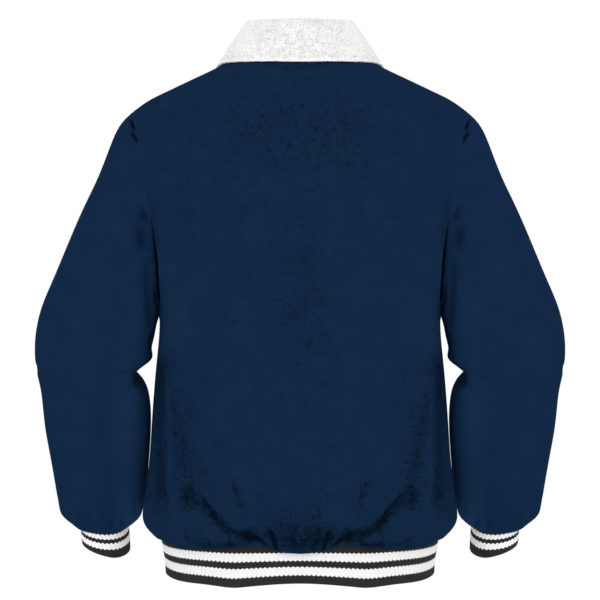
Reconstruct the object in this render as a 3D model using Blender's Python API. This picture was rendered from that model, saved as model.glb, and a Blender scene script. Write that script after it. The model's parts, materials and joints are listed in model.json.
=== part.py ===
"""Varsity jacket, filled out and hollow, closed at the front, with nobody in it.

Metres, +Z up. The jacket's back faces -Y, its front +Y, and its right sleeve is at +X.
The origin is midway between the two points where a shoulder seam meets the neck, level with
them, where the wearer's shoulders carry the jacket.

Every piece of cloth is a wall: a grid of points on its outer face, worked out from the tables
below, and the same grid moved in by the cloth's thickness. Pieces that are sewn together share
the points of their seam, each drawn back from it by half of the seam gap.
"""

import math
from collections import namedtuple

import bmesh
import bpy
import numpy as np
from mathutils import Matrix, Vector

# Cloth
WOOL_WALL = 0.0022
SLEEVE_WALL = 0.0018
COLLAR_WALL = 0.0030
KNIT_WALL = 0.0030
SEAM_GAP = 0.0003

# Neck and shoulders
NECK_HALF_WIDTH = 0.088
NECK_POINT_Z = 0.003
NECK_POINT_Y = 0.004
NECK_BACK_DEPTH = 0.068
NECK_BACK_DROP = 0.004
NECK_FRONT_DEPTH = 0.076
NECK_FRONT_DROP = 0.066
SHOULDER_POINT = (0.2200, -0.0020, -0.0670)
SHOULDER_ROLL = 0.007  # how far the seam falls below a straight line at the shoulder point
SHOULDER_ROLL_POWER = 10

# How each half of the body is divided: 0 is the centre line, 1 the side seam and armhole
NECK_ACROSS = 0.3  # the neck's share of it, the rest is shoulder
NECK_STEPS = 4
SHOULDER_STEPS = 6
LAP_ACROSS = 0.026  # the fronts pass the centre line by this share
LAP_DIP_ACROSS = 0.1  # the under front has come up to the level of the upper one here
LAP_DIP = WOOL_WALL + 0.0004
RISE_STEPS = 9  # rows from the underarm up to the shoulder and neck

# A level section of the body: half a superellipse behind, half a one in front
Level = namedtuple("Level", "height half_width back front power")
BODY_LEVELS = [  # from the waist seam, tucked up under the blouse, to the underarm
    Level(-0.6125, 0.1797, 0.1217, 0.1217, 2.3),
    Level(-0.6190, 0.1812, 0.1235, 0.1235, 2.3),
    Level(-0.6225, 0.1850, 0.1275, 0.1295, 2.3),
    Level(-0.6180, 0.1905, 0.1335, 0.1375, 2.3),
    Level(-0.6080, 0.1985, 0.1405, 0.1450, 2.3),
    Level(-0.5900, 0.2040, 0.1475, 0.1500, 2.3),
    Level(-0.5600, 0.2015, 0.1480, 0.1500, 2.3),
    Level(-0.5250, 0.1970, 0.1440, 0.1465, 2.3),
    Level(-0.4850, 0.1940, 0.1395, 0.1400, 2.3),
    Level(-0.4400, 0.1910, 0.1360, 0.1365, 2.3),
    Level(-0.3950, 0.1865, 0.1330, 0.1345, 2.3),
    Level(-0.3550, 0.1825, 0.1310, 0.1335, 2.3),
    Level(-0.3180, 0.1815, 0.1300, 0.1335, 2.3),
]

# Each line of cloth from the underarm level to the neck or shoulder is a cubic curve. A row
# gives, for one place across, how far its lower handle stands off its lower end, how far its
# upper one does in x and z, and how deep the upper one lies behind or before the shoulder line.
Rise = namedtuple("Rise", "across low_x low_y low_z high_x high_z high_depth")
BACK_RISES = [
    Rise(0.00, 0.000, -0.016, 0.115, 0.000, -0.030, 0.117),
    Rise(0.30, 0.002, -0.016, 0.115, 0.004, -0.010, 0.113),
    Rise(0.65, 0.006, -0.024, 0.100, 0.000, -0.014, 0.100),
    Rise(1.00, -0.006, -0.095, 0.040, -0.018, -0.026, 0.082),
]
FRONT_RISES = [
    Rise(0.00, 0.000, 0.008, 0.100, 0.000, -0.035, 0.116),
    Rise(0.30, 0.002, 0.010, 0.110, 0.004, -0.044, 0.106),
    Rise(0.65, 0.002, 0.020, 0.100, -0.006, -0.030, 0.095),
    Rise(1.00, -0.008, 0.085, 0.035, -0.020, -0.028, 0.077),
]

# A fold is a soft trough (depth above 0) or ridge (below 0) along a straight line on the body.
# around is 0 at centre back, 1 at the side seam and 2 at centre front, on both halves.
Fold = namedtuple("Fold", "around_1 height_1 around_2 height_2 half_width depth")
BODY_FOLDS = [
    Fold(0.41, -0.5560, 0.13, -0.6120, 0.014, 0.0055),
    Fold(0.52, -0.5450, 0.44, -0.5750, 0.018, 0.0045),
    Fold(0.66, -0.3900, 0.55, -0.5750, 0.016, -0.0035),
    Fold(0.85, -0.4600, 0.80, -0.5600, 0.030, 0.0040),
    Fold(0.00, -0.2450, 0.00, -0.4400, 0.030, 0.0025),
    Fold(1.36, -0.5300, 1.48, -0.6100, 0.016, 0.0050),
    Fold(1.70, -0.5500, 1.62, -0.6100, 0.014, 0.0045),
]
AROUND_TO_METRES = 0.29  # cloth from the centre line to the side seam

# Waistband: one knitted strip, its left end lapped over its right
BAND_LEVELS = [
    Level(-0.6660, 0.1738, 0.1165, 0.1165, 2.3),
    Level(-0.6450, 0.1752, 0.1180, 0.1180, 2.3),
    Level(-0.6285, 0.1782, 0.1203, 0.1203, 2.3),
    Level(-0.6105, 0.1793, 0.1213, 0.1213, 2.3),
]
BAND_DIP = KNIT_WALL + 0.0004
HemWave = namedtuple("HemWave", "across half_width rise")
HEM_WAVES = [  # behind, the lower edge lifts at the centre and dips to each side of it
    HemWave(0.00, 0.13, 0.0035),
    HemWave(0.30, 0.10, -0.0030),
    HemWave(-0.30, 0.10, -0.0030),
]
SIDE_WAVES = [  # behind and in front, the whole band rides up at the side seams
    HemWave(1.00, 0.26, 0.0065),
    HemWave(-1.00, 0.26, 0.0065),
]
SIDE_WAVE_TOP_SHARE = 0.5  # how much of that the upper edge does

# Sleeve: each row is a section between an outer and an inner edge point, seen from the back.
# own is how far it has left the armhole's shape for its own oval, tilt how far its back hangs
# below its front in degrees, pinch how far the inner edge is folded in.
SleeveRow = namedtuple(
    "SleeveRow", "outer_x outer_z inner_x inner_z middle_y half_depth tilt own pinch"
)
SLEEVE_ROWS = [
    SleeveRow(0.2350, -0.0845, 0.1852, -0.3195, 0.000, 0.070, 0, 0.08, 0),
    SleeveRow(0.2475, -0.1130, 0.1850, -0.3225, 0.000, 0.070, 0, 0.20, 0),
    SleeveRow(0.2620, -0.1500, 0.1849, -0.3270, 0.000, 0.070, 0, 0.38, 0),
    SleeveRow(0.2800, -0.1880, 0.1850, -0.3320, 0.000, 0.070, 0, 0.58, 0),
    SleeveRow(0.2990, -0.2320, 0.1858, -0.3385, 0.000, 0.070, 0, 0.78, 0),
    SleeveRow(0.3180, -0.2780, 0.1872, -0.3470, 0.000, 0.071, 0, 0.92, 0),
    SleeveRow(0.3345, -0.3180, 0.1895, -0.3590, 0.000, 0.072, 1, 1, 0),
    SleeveRow(0.3420, -0.3520, 0.1925, -0.3730, 0.001, 0.072, 3, 1, 0),
    SleeveRow(0.3440, -0.3780, 0.1935, -0.3870, 0.003, 0.071, 6, 1, 0),
    SleeveRow(0.3415, -0.3995, 0.1945, -0.4015, 0.007, 0.068, 9, 1, 0.023),
    SleeveRow(0.3375, -0.4180, 0.1955, -0.4170, 0.013, 0.067, 12, 1, 0.007),
    SleeveRow(0.3350, -0.4420, 0.1960, -0.4400, 0.021, 0.066, 14, 1, 0),
    SleeveRow(0.3330, -0.4710, 0.1960, -0.4690, 0.032, 0.064, 16, 1, 0),
    SleeveRow(0.3285, -0.5030, 0.1985, -0.5010, 0.043, 0.061, 17, 1, 0),
    SleeveRow(0.3240, -0.5350, 0.2015, -0.5330, 0.054, 0.058, 17, 1, 0),
    SleeveRow(0.3200, -0.5650, 0.2045, -0.5630, 0.064, 0.055, 16, 1, 0),
    SleeveRow(0.3155, -0.5870, 0.2085, -0.5840, 0.071, 0.051, 14, 1, 0),
    SleeveRow(0.3045, -0.6018, 0.2170, -0.6000, 0.075, 0.045, 13, 1, 0),
    SleeveRow(0.2945, -0.6092, 0.2240, -0.6070, 0.077, 0.038, 14, 1, 0),
    SleeveRow(0.2912, -0.6070, 0.2265, -0.6045, 0.076, 0.0345, 18, 1, 0),
    SleeveRow(0.2905, -0.6020, 0.2272, -0.5990, 0.0749, 0.0335, 20, 1, 0),
]
OVAL_POWER = 2.2
PINCH_POWER = 6

# Cuff: sections from inside the sleeve's end to its open edge. tilt is how far a section's back
# hangs below its front and slant how far its inner side hangs below its outer one, in degrees.
CuffRow = namedtuple("CuffRow", "middle_x middle_y middle_z half_width half_depth tilt slant")
CUFF_ROWS = [
    CuffRow(0.2588, 0.0745, -0.5985, 0.0312, 0.0325, 20, 0),
    CuffRow(0.2585, 0.0790, -0.6110, 0.0320, 0.0328, 20, 3),
    CuffRow(0.2580, 0.0835, -0.6235, 0.0325, 0.0330, 20, 6),
    CuffRow(0.2575, 0.0880, -0.6360, 0.0325, 0.0330, 20, 9),
]
CUFF_COLUMNS = 18

# Collar: a stand that rises from the neck seam and a fall that turns over it and lies on the
# body. share is 0 at centre back and 1 at centre front. fall_across and fall_over say which
# point of the body the fall's edge lies on: over is below 0 on the back, above 0 on the front.
CollarRow = namedtuple("CollarRow", "share stand lean fall_across fall_over clear bow")
COLLAR_ROWS = [
    CollarRow(0.00, 0.0520, 0.0100, 0.00, -0.068, 0.0015, 0.003),
    CollarRow(0.25, 0.0510, 0.0180, 0.24, -0.069, 0.0020, 0.003),
    CollarRow(0.50, 0.0500, 0.0215, 0.40, 0.000, 0.0035, 0.001),
    CollarRow(0.70, 0.0440, 0.0180, 0.38, 0.120, 0.0050, 0.007),
    CollarRow(0.85, 0.0360, 0.0090, 0.30, 0.220, 0.0065, 0.009),
    CollarRow(1.00, 0.0280, 0.0030, 0.13, 0.360, 0.0035, 0.006),
]
COLLAR_END_GAP = 0.0016  # between the collar's two ends
COLLAR_ROLL = 0.0055  # half of the thickness at the top fold
COLLAR_ROLL_DROP = 0.0040
FALL_STEPS = 3

# Snaps down the front, and one on the waistband
SNAP_TOP_Z = -0.105
SNAP_PITCH = 0.092
SNAP_COUNT = 6
BAND_SNAP_Z = -0.6400
SNAP_RADIUS = 0.0075
SNAP_LIFT = 0.0004
SNAP_SIDES = 14
SnapRing = namedtuple("SnapRing", "radius_share height")
SNAP_PROFILE = [
    SnapRing(1.00, 0.0000),
    SnapRing(1.00, 0.0010),
    SnapRing(0.86, 0.0022),
    SnapRing(0.50, 0.0030),
]

BACK, FRONT = -1, 1


def through(rows, at):
    """The values at one place on a smooth curve through a table's rows, which start with it."""
    table = np.array(rows, float)
    places = table[:, 0]
    values = table[:, 1:]
    slopes = np.gradient(values, places, axis=0)
    k = min(max(int(np.searchsorted(places, at)) - 1, 0), len(places) - 2)
    span = places[k + 1] - places[k]
    s = (at - places[k]) / span
    start = (2 * s**3 - 3 * s**2 + 1) * values[k] + (s**3 - 2 * s**2 + s) * span * slopes[k]
    end = (3 * s**2 - 2 * s**3) * values[k + 1] + (s**3 - s**2) * span * slopes[k + 1]
    return start + end


def ease(low, high, at):
    """0 below low, 1 above high and smooth between them."""
    s = min(max((at - low) / (high - low), 0), 1)
    return s * s * (3 - 2 * s)


def lap_share(across):
    """How far under the other front the right-hand one has gone: 1 all through the lap."""
    return 1 - ease(LAP_ACROSS, LAP_DIP_ACROSS, across)


def unit(vectors):
    return vectors / np.linalg.norm(vectors, axis=-1, keepdims=True)


# ---- The body's form --------------------------------------------------------------------


def level_point(level, side, across):
    """A point of a level section: across 0 is the centre line, 1 and -1 the side seams."""
    angle = abs(across) * math.pi / 2
    depth = level.back if side == BACK else level.front
    x = level.half_width * math.sin(angle) ** (2 / level.power)
    y = depth * max(math.cos(angle), 0) ** (2 / level.power)
    return np.array((math.copysign(x, across), side * y, level.height))


def neck_point(side, share):
    """A point of the neck seam: share 0 on the centre line, 1 at the shoulder seam."""
    angle = share * math.pi / 2
    depth = NECK_BACK_DEPTH if side == BACK else NECK_FRONT_DEPTH
    drop = NECK_BACK_DROP if side == BACK else NECK_FRONT_DROP
    x = NECK_HALF_WIDTH * math.sin(angle)
    y = NECK_POINT_Y + side * depth * math.cos(angle)
    return np.array((x, y, NECK_POINT_Z - drop * math.cos(angle) ** 1.5))


def neck_line(side, share):
    """A point of the neck seam as the body panels have it, straight between their columns."""
    at = share * NECK_STEPS
    k = min(int(at), NECK_STEPS - 1)
    start = neck_point(side, k / NECK_STEPS)
    return start + (at - k) * (neck_point(side, (k + 1) / NECK_STEPS) - start)


def shoulder_point(share):
    """A point of the shoulder seam: share 0 at the neck, 1 at the armhole."""
    x, y, z = SHOULDER_POINT
    roll = SHOULDER_ROLL * (share**SHOULDER_ROLL_POWER - share)
    return np.array((
        NECK_HALF_WIDTH + share * (x - NECK_HALF_WIDTH),
        NECK_POINT_Y + share * (y - NECK_POINT_Y),
        NECK_POINT_Z + share * (z - NECK_POINT_Z) - roll,
    ))


def rise_point(side, across, climb):
    """A point of the body between the underarm level, climb 0, and its top edge, climb 1."""
    place = abs(across)
    low = level_point(BODY_LEVELS[-1], side, place)
    if place <= NECK_ACROSS:
        high = neck_point(side, place / NECK_ACROSS)
    else:
        high = shoulder_point((place - NECK_ACROSS) / (1 - NECK_ACROSS))
    row = Rise(place, *through(BACK_RISES if side == BACK else FRONT_RISES, place))
    low_handle = low + (row.low_x, row.low_y, row.low_z)
    high_handle = (high[0] + row.high_x, side * row.high_depth, high[2] + row.high_z)
    corners = (low, low_handle, np.array(high_handle), high)
    weights = ((1 - climb) ** 3, 3 * climb * (1 - climb) ** 2, 3 * climb**2 * (1 - climb), climb**3)
    point = sum(weight * corner for weight, corner in zip(weights, corners))
    return point * (math.copysign(1, across), 1, 1)


def body_column(side, across):
    """The points of the form from the waist seam to the top edge at one place around it."""
    levels = [level_point(level, side, across) for level in BODY_LEVELS]
    rises = [rise_point(side, across, k / RISE_STEPS) for k in range(1, RISE_STEPS + 1)]
    return levels + rises


def fold_depth(side, across, height):
    """How far the folds press the cloth in at a point of the body."""
    around = abs(across) if side == BACK else 2 - abs(across)
    here = np.array((around * AROUND_TO_METRES, height))
    depth = 0
    for fold in BODY_FOLDS:
        start = np.array((fold.around_1 * AROUND_TO_METRES, fold.height_1))
        end = np.array((fold.around_2 * AROUND_TO_METRES, fold.height_2))
        along = (here - start) @ (end - start) / ((end - start) @ (end - start))
        nearest = start + min(max(along, 0), 1) * (end - start)
        distance = np.linalg.norm(here - nearest)
        depth += fold.depth * math.exp(-((distance / fold.half_width) ** 2))
    return depth


# ---- Grids, walls and seams -------------------------------------------------------------


def faces_out(grid, wrap=False):
    """The direction out of the cloth at each point of a grid, rows up and columns to the right."""
    if wrap:
        columns = np.roll(grid, -1, axis=1) - np.roll(grid, 1, axis=1)
    else:
        columns = np.gradient(grid, axis=1)
    return unit(np.cross(columns, np.gradient(grid, axis=0)))


def share_directions(grids, outs):
    """Gives points that lie on the same place of several pieces one direction: the mean of
    theirs, in which pieces that agree already count once."""
    met = {}
    for name, grid in grids.items():
        for point, out in zip(grid.reshape(-1, 3), outs[name].reshape(-1, 3)):
            key = tuple(np.round(point, 5) + 0.0)
            met.setdefault(key, {})[tuple(np.round(out, 3))] = out
    for name, grid in grids.items():
        keys = [tuple(np.round(point, 5) + 0.0) for point in grid.reshape(-1, 3)]
        outs[name] = unit(np.array([sum(met[key].values()) for key in keys])).reshape(grid.shape)


Seam = namedtuple("Seam", "edge share length")  # share of the gap that this piece gives


def draw_back(grid, out, seams):
    """Moves the edges of a grid back from their seams, square to the wall there."""
    moved = grid.copy()
    for seam in seams:
        line, beside = {
            "bottom": (np.s_[0, : seam.length], np.s_[1, : seam.length]),
            "top": (np.s_[-1, : seam.length], np.s_[-2, : seam.length]),
            "left": (np.s_[: seam.length, 0], np.s_[: seam.length, 1]),
            "right": (np.s_[: seam.length, -1], np.s_[: seam.length, -2]),
        }[seam.edge]
        away = grid[beside] - grid[line]
        away -= np.sum(away * out[line], axis=-1, keepdims=True) * out[line]
        moved[line] += seam.share * SEAM_GAP * unit(away)
    return moved


def cloth(name, grid, out, wall, material, wrap=False):
    """Makes one piece of cloth: its outer grid, its inner one, and the rims between them."""
    rows, columns = grid.shape[:2]
    mesh = bmesh.new()
    outer = [[mesh.verts.new(p) for p in row] for row in grid]
    inner = [[mesh.verts.new(p) for p in row] for row in grid - wall * out]
    last = columns if wrap else columns - 1
    for i in range(rows - 1):
        for j in range(last):
            k = (j + 1) % columns
            mesh.faces.new((outer[i][j], outer[i][k], outer[i + 1][k], outer[i + 1][j]))
            mesh.faces.new((inner[i][j], inner[i + 1][j], inner[i + 1][k], inner[i][k]))
    for j in range(last):
        k = (j + 1) % columns
        mesh.faces.new((outer[0][j], inner[0][j], inner[0][k], outer[0][k]))
        mesh.faces.new((outer[-1][j], outer[-1][k], inner[-1][k], inner[-1][j]))
    for i in range(0 if wrap else rows - 1):
        mesh.faces.new((outer[i][0], outer[i + 1][0], inner[i + 1][0], inner[i][0]))
        mesh.faces.new((outer[i][-1], inner[i][-1], inner[i + 1][-1], outer[i + 1][-1]))
    return finish(name, mesh, material)


def finish(name, mesh, material):
    """Turns a bmesh into a named object with smooth faces and crisp rims."""
    bmesh.ops.recalc_face_normals(mesh, faces=mesh.faces)
    data = bpy.data.meshes.new(name)
    mesh.to_mesh(data)
    mesh.free()
    data.materials.append(material)
    data.shade_smooth()
    data.set_sharp_from_angle(angle=math.radians(50))
    made = bpy.data.objects.new(name, data)
    bpy.context.collection.objects.link(made)
    return made


def finish_of(name, colour, roughness, metallic=0.0):
    """A plain Principled material."""
    material = bpy.data.materials.new(name)
    material.use_nodes = True
    shader = material.node_tree.nodes["Principled BSDF"]
    shader.inputs["Base Color"].default_value = (*colour, 1)
    shader.inputs["Roughness"].default_value = roughness
    shader.inputs["Metallic"].default_value = metallic
    return material


# ---- Body: back and two fronts ----------------------------------------------------------


Panel = namedtuple("Panel", "side places dip")  # dip lowers its lap under the other front


def smooth_form(panel):
    """The grid of a body panel before its folds and its dip."""
    columns = [body_column(panel.side, across) for across in panel.places]
    return np.array(columns).transpose(1, 0, 2)


def folded_form(grid, out, panel):
    """The grid of a body panel with its folds and its dip pressed in."""
    folded = grid.copy()
    for i, row in enumerate(grid):
        for j, across in enumerate(panel.places):
            press = panel.dip * lap_share(across)
            if 2 < i < len(BODY_LEVELS) + 2:
                press += fold_depth(panel.side, across, row[j][2])
            folded[i, j] -= press * out[i, j]
    return folded


def sleeve_grid(back, front):
    """The right sleeve's grid, columns once round from the shoulder point down its back."""
    first = len(BODY_LEVELS) - 1
    down_the_back = back[first:, -1][::-1]
    up_the_front = front[first + 1 : -1, 0]
    armhole = np.concatenate([down_the_back, up_the_front])
    top = armhole[0]
    underarm = armhole[RISE_STEPS]
    drop = top - underarm
    heights = (armhole - underarm) @ drop / (drop @ drop)
    offsets = armhole - underarm - heights[:, None] * drop
    angles = np.arange(len(armhole)) * 2 * math.pi / len(armhole)
    rings = [armhole]
    for row in SLEEVE_ROWS:
        tilt = math.radians(row.tilt)
        backward = np.array((0, -math.cos(tilt), -math.sin(tilt)))
        outer = np.array((row.outer_x, row.middle_y, row.outer_z))
        inner = np.array((row.inner_x, row.middle_y, row.inner_z))
        power = 2 / OVAL_POWER
        cosine = np.sign(np.cos(angles)) * abs(np.cos(angles)) ** power
        sine = np.sign(np.sin(angles)) * abs(np.sin(angles)) ** power
        height = (1 - row.own) * heights + row.own * (1 + cosine) / 2
        oval = row.half_depth * sine[:, None] * backward
        fold = row.pinch * np.clip(-np.cos(angles), 0, 1) ** PINCH_POWER
        ring = inner + (height[:, None]) * (outer - inner)
        ring += (1 - row.own) * offsets + row.own * oval
        ring += fold[:, None] * unit(outer - inner)
        rings.append(ring)
    return np.array(rings)


def cuff_grid():
    """The right cuff's grid, columns as the sleeve's."""
    angles = np.arange(CUFF_COLUMNS) * 2 * math.pi / CUFF_COLUMNS
    rings = []
    for row in CUFF_ROWS:
        tilt = math.radians(row.tilt)
        slant = math.radians(row.slant)
        backward = np.array((0, -math.cos(tilt), -math.sin(tilt)))
        outward = np.array((math.cos(slant), 0, math.sin(slant)))
        middle = np.array((row.middle_x, row.middle_y, row.middle_z))
        ring = middle + row.half_width * np.cos(angles)[:, None] * outward
        rings.append(ring + row.half_depth * np.sin(angles)[:, None] * backward)
    return np.array(rings)


def other_hand(grid):
    """The same piece for the left side, its columns still running to the right."""
    return (grid * (-1, 1, 1))[:, ::-1]


# ---- Waistband --------------------------------------------------------------------------


def hem_rise(waves, places):
    """How far the waistband's lower edge lifts at each of some places across."""
    return sum(w.rise * np.exp(-(((np.array(places) - w.across) / w.half_width) ** 2)) for w in waves)


def band_grid(side, places, dip=0):
    """The grid of one stretch of the waistband. dip lowers its end under the other one."""
    grid = np.array([[level_point(level, side, across) for across in places] for level in BAND_LEVELS])
    share = (grid[:, :, 2] - grid[-1, :, 2]) / (grid[0, :, 2] - grid[-1, :, 2])
    if side == BACK:
        grid[:, :, 2] += share * hem_rise(HEM_WAVES, places)
    side_share = SIDE_WAVE_TOP_SHARE + (1 - SIDE_WAVE_TOP_SHARE) * share
    grid[:, :, 2] += side_share * hem_rise(SIDE_WAVES, places)
    dips = dip * np.array([lap_share(across) for across in places])
    return grid - dips[None, :, None] * faces_out(grid)


# ---- Collar -----------------------------------------------------------------------------


def over_point(across, over):
    """A point of the body near its top: over is below 0 on the back and above 0 on the front."""
    return rise_point(BACK if over < 0 else FRONT, across, 1 - abs(over))


def over_out(across, over):
    """The direction out of the body there, from three points close together."""
    step = 0.004
    here = over_point(across, over)
    along = over_point(across + step, over) - here
    onward = over_point(across, over + step) - here
    return unit(np.cross(along, onward))


def collar_column(place):
    """The collar's outer face at one place round the neck, from the fall's edge to the stand's
    foot. place is 0 at centre back, 1 at the right of centre front and -1 at its left."""
    share = abs(place)
    stand, lean, across, over, clear, bow = through(COLLAR_ROWS, share)
    side = BACK if share <= 0.5 else FRONT
    seam = neck_line(side, share * 2 if side == BACK else (1 - share) * 2)
    seam[0] = max(seam[0], COLLAR_END_GAP / 2)
    inward = unit(np.array((-seam[0], NECK_POINT_Y - seam[1], 0)))
    up = np.array((0, 0, 1))
    top = seam + lean * inward + stand * up
    edge = over_point(across, over) + (COLLAR_WALL + clear) * over_out(across, over)
    brow = top - COLLAR_ROLL * inward - COLLAR_ROLL_DROP * up
    rise = unit(brow - edge)
    away = unit((inward @ rise) * rise - inward)
    fall = []
    for k in range(FALL_STEPS):
        s = k / FALL_STEPS
        fall.append(edge + s * (brow - edge) + 4 * s * (1 - s) * bow * away)
    foot = seam + COLLAR_WALL * inward + 2 * SEAM_GAP * up
    crease = top + COLLAR_ROLL * inward - COLLAR_ROLL_DROP * up
    column = np.array(fall + [brow, top, crease, (crease + foot) / 2, foot])
    return column * (math.copysign(1, place), 1, 1)


def collar_grid():
    half = [*np.linspace(0, 0.5, NECK_STEPS + 1), *np.linspace(0.5, 1, 2 * NECK_STEPS + 1)[1:]]
    places = [*(-place for place in half[:0:-1]), *half]
    return np.array([collar_column(place) for place in places]).transpose(1, 0, 2)


# ---- Snaps ------------------------------------------------------------------------------


def seat_on(grid, first_column, height):
    """The place and direction for a snap on the strip of cloth between two columns of a grid."""
    middle = (grid[:, first_column] + grid[:, first_column + 1]) / 2
    rows = range(len(middle) - 1)
    row = next(i for i in reversed(rows) if middle[i][2] <= height <= middle[i + 1][2])
    share = (height - middle[row][2]) / (middle[row + 1][2] - middle[row][2])
    place = middle[row] + share * (middle[row + 1] - middle[row])
    right = grid[row, first_column + 1] - grid[row, first_column]
    return place, unit(np.cross(right, middle[row + 1] - middle[row]))


def snap(name, place, direction, material):
    """A domed snap cap that sits on the cloth."""
    mesh = bmesh.new()
    rings = []
    for ring in SNAP_PROFILE:
        radius = ring.radius_share * SNAP_RADIUS
        made = bmesh.ops.create_circle(mesh, segments=SNAP_SIDES, radius=radius)["verts"]
        bmesh.ops.translate(mesh, verts=made, vec=(0, 0, ring.height))
        rings.append(made)
    for low, high in zip(rings, rings[1:]):
        for j in range(SNAP_SIDES):
            k = (j + 1) % SNAP_SIDES
            mesh.faces.new((low[j], low[k], high[k], high[j]))
    mesh.faces.new(rings[0])
    mesh.faces.new(rings[-1])
    made = finish(name, mesh, material)
    turn = Vector(direction).to_track_quat("Z", "Y").to_matrix().to_4x4()
    made.data.transform(Matrix.Translation(place + SNAP_LIFT * direction) @ turn)
    return made


# ---- The jacket -------------------------------------------------------------------------

for old in list(bpy.data.objects):
    bpy.data.objects.remove(old)

WOOL = finish_of("navy_wool", (0.008, 0.021, 0.052), 0.9)
LEATHER = finish_of("navy_leather", (0.007, 0.021, 0.058), 0.5)
PILE = finish_of("white_pile", (0.85, 0.85, 0.85), 0.95)
KNIT = finish_of("striped_knit", (0.025, 0.025, 0.025), 0.85)
STEEL = finish_of("snap_steel", (0.6, 0.6, 0.62), 0.3, 1.0)

# Places across, in the order in which someone who faces that side reads them from the left
to_neck_point = np.linspace(0, NECK_ACROSS, NECK_STEPS + 1)
halves = [*to_neck_point, *np.linspace(NECK_ACROSS, 1, SHOULDER_STEPS + 1)[1:]]
back_places = [*(-across for across in halves[:0:-1]), *halves]
right_places = [*halves[:0:-1], LAP_ACROSS, -LAP_ACROSS]
left_places = [-across for across in reversed(right_places)]

PANELS = {
    "back": Panel(BACK, back_places, 0),
    "front_left": Panel(FRONT, left_places, 0),
    "front_right": Panel(FRONT, right_places, LAP_DIP),
}
forms = {name: smooth_form(panel) for name, panel in PANELS.items()}
outs = {name: faces_out(grid) for name, grid in forms.items()}
share_directions(forms, outs)
body = {name: folded_form(forms[name], outs[name], panel) for name, panel in PANELS.items()}
outs = {name: faces_out(grid) for name, grid in body.items()}
share_directions(body, outs)
sleeve = sleeve_grid(body["back"], body["front_right"])
body["sleeve_right"] = sleeve
body["sleeve_left"] = np.roll(other_hand(sleeve), 1, axis=1)
for name in ("sleeve_right", "sleeve_left"):
    outs[name] = faces_out(body[name], wrap=True)
share_directions(body, outs)
TO_UNDERARM = len(BODY_LEVELS)  # a side seam's length, in points of the grid
SEAMS = {  # a sleeve gives all of the gap round its armhole
    "back": (Seam("left", 0.5, TO_UNDERARM), Seam("right", 0.5, TO_UNDERARM), Seam("top", 0.5, None)),
    "front_left": (Seam("right", 0.5, TO_UNDERARM), Seam("top", 0.5, None)),
    "front_right": (Seam("left", 0.5, TO_UNDERARM), Seam("top", 0.5, None)),
    "sleeve_right": (Seam("bottom", 1, None),),
    "sleeve_left": (Seam("bottom", 1, None),),
}
for name, grid in body.items():
    drawn = draw_back(grid, outs[name], SEAMS[name])
    if name in PANELS:
        cloth(name, drawn, outs[name], WOOL_WALL, WOOL)
    else:
        cloth(name, drawn, outs[name], SLEEVE_WALL, LEATHER, wrap=True)

cuff = cuff_grid()
for name, grid in {"cuff_right": cuff, "cuff_left": np.roll(other_hand(cuff), 1, axis=1)}.items():
    cloth(name, grid, faces_out(grid, wrap=True), KNIT_WALL, KNIT, wrap=True)

band = np.concatenate(
    (
        band_grid(FRONT, left_places),
        band_grid(BACK, back_places)[:, 1:-1],
        band_grid(FRONT, right_places, BAND_DIP),
    ),
    axis=1,
)
cloth("waistband", band, faces_out(band), KNIT_WALL, KNIT)

collar = collar_grid()
cloth("collar", collar, faces_out(collar), COLLAR_WALL, PILE)

for number in range(SNAP_COUNT):
    seat = seat_on(body["front_left"], 0, SNAP_TOP_Z - number * SNAP_PITCH)
    snap(f"snap_{number + 1}", *seat, STEEL)
snap(f"snap_{SNAP_COUNT + 1}", *seat_on(band, 0, BAND_SNAP_Z), STEEL)
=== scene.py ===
"""The looks of a varsity jacket: wool body, smooth leather sleeves, nappy white collar and
striped rib-knit bands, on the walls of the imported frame. Metres; its back faces -Y, its front +Y
and its right sleeve is at +X. The neck's middle is at the origin."""

import json
import math
from collections import namedtuple
from contextlib import contextmanager

import bmesh
import bpy
import numpy as np
from mathutils import Matrix, Vector
from mathutils.bvhtree import BVHTree
from mathutils.kdtree import KDTree

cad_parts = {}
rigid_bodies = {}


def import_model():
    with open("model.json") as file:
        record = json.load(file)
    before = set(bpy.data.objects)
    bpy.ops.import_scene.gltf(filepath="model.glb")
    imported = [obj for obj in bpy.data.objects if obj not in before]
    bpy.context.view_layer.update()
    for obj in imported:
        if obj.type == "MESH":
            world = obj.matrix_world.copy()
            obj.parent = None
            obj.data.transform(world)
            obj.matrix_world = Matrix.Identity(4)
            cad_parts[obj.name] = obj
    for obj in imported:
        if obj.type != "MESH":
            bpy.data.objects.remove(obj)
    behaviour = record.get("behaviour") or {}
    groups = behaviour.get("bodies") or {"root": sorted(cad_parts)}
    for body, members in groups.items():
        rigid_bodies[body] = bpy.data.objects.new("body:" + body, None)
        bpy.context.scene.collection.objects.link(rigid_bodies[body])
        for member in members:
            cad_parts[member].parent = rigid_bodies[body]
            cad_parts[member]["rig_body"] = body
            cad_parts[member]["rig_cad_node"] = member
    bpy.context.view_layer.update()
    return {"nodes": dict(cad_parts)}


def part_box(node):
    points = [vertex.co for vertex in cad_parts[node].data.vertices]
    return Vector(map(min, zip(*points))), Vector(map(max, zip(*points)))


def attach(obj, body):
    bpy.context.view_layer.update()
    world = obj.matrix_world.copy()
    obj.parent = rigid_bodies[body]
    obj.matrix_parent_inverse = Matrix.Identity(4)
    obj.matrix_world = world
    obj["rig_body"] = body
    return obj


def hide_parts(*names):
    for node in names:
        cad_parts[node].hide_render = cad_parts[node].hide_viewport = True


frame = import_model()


# ---- Wool body: back and two fronts ------------------------------------------------------
# Melton wool, cut as one back and two fronts and joined at the sides and shoulders. It blouses
# over the waistband, and the left front laps over the right.

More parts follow.
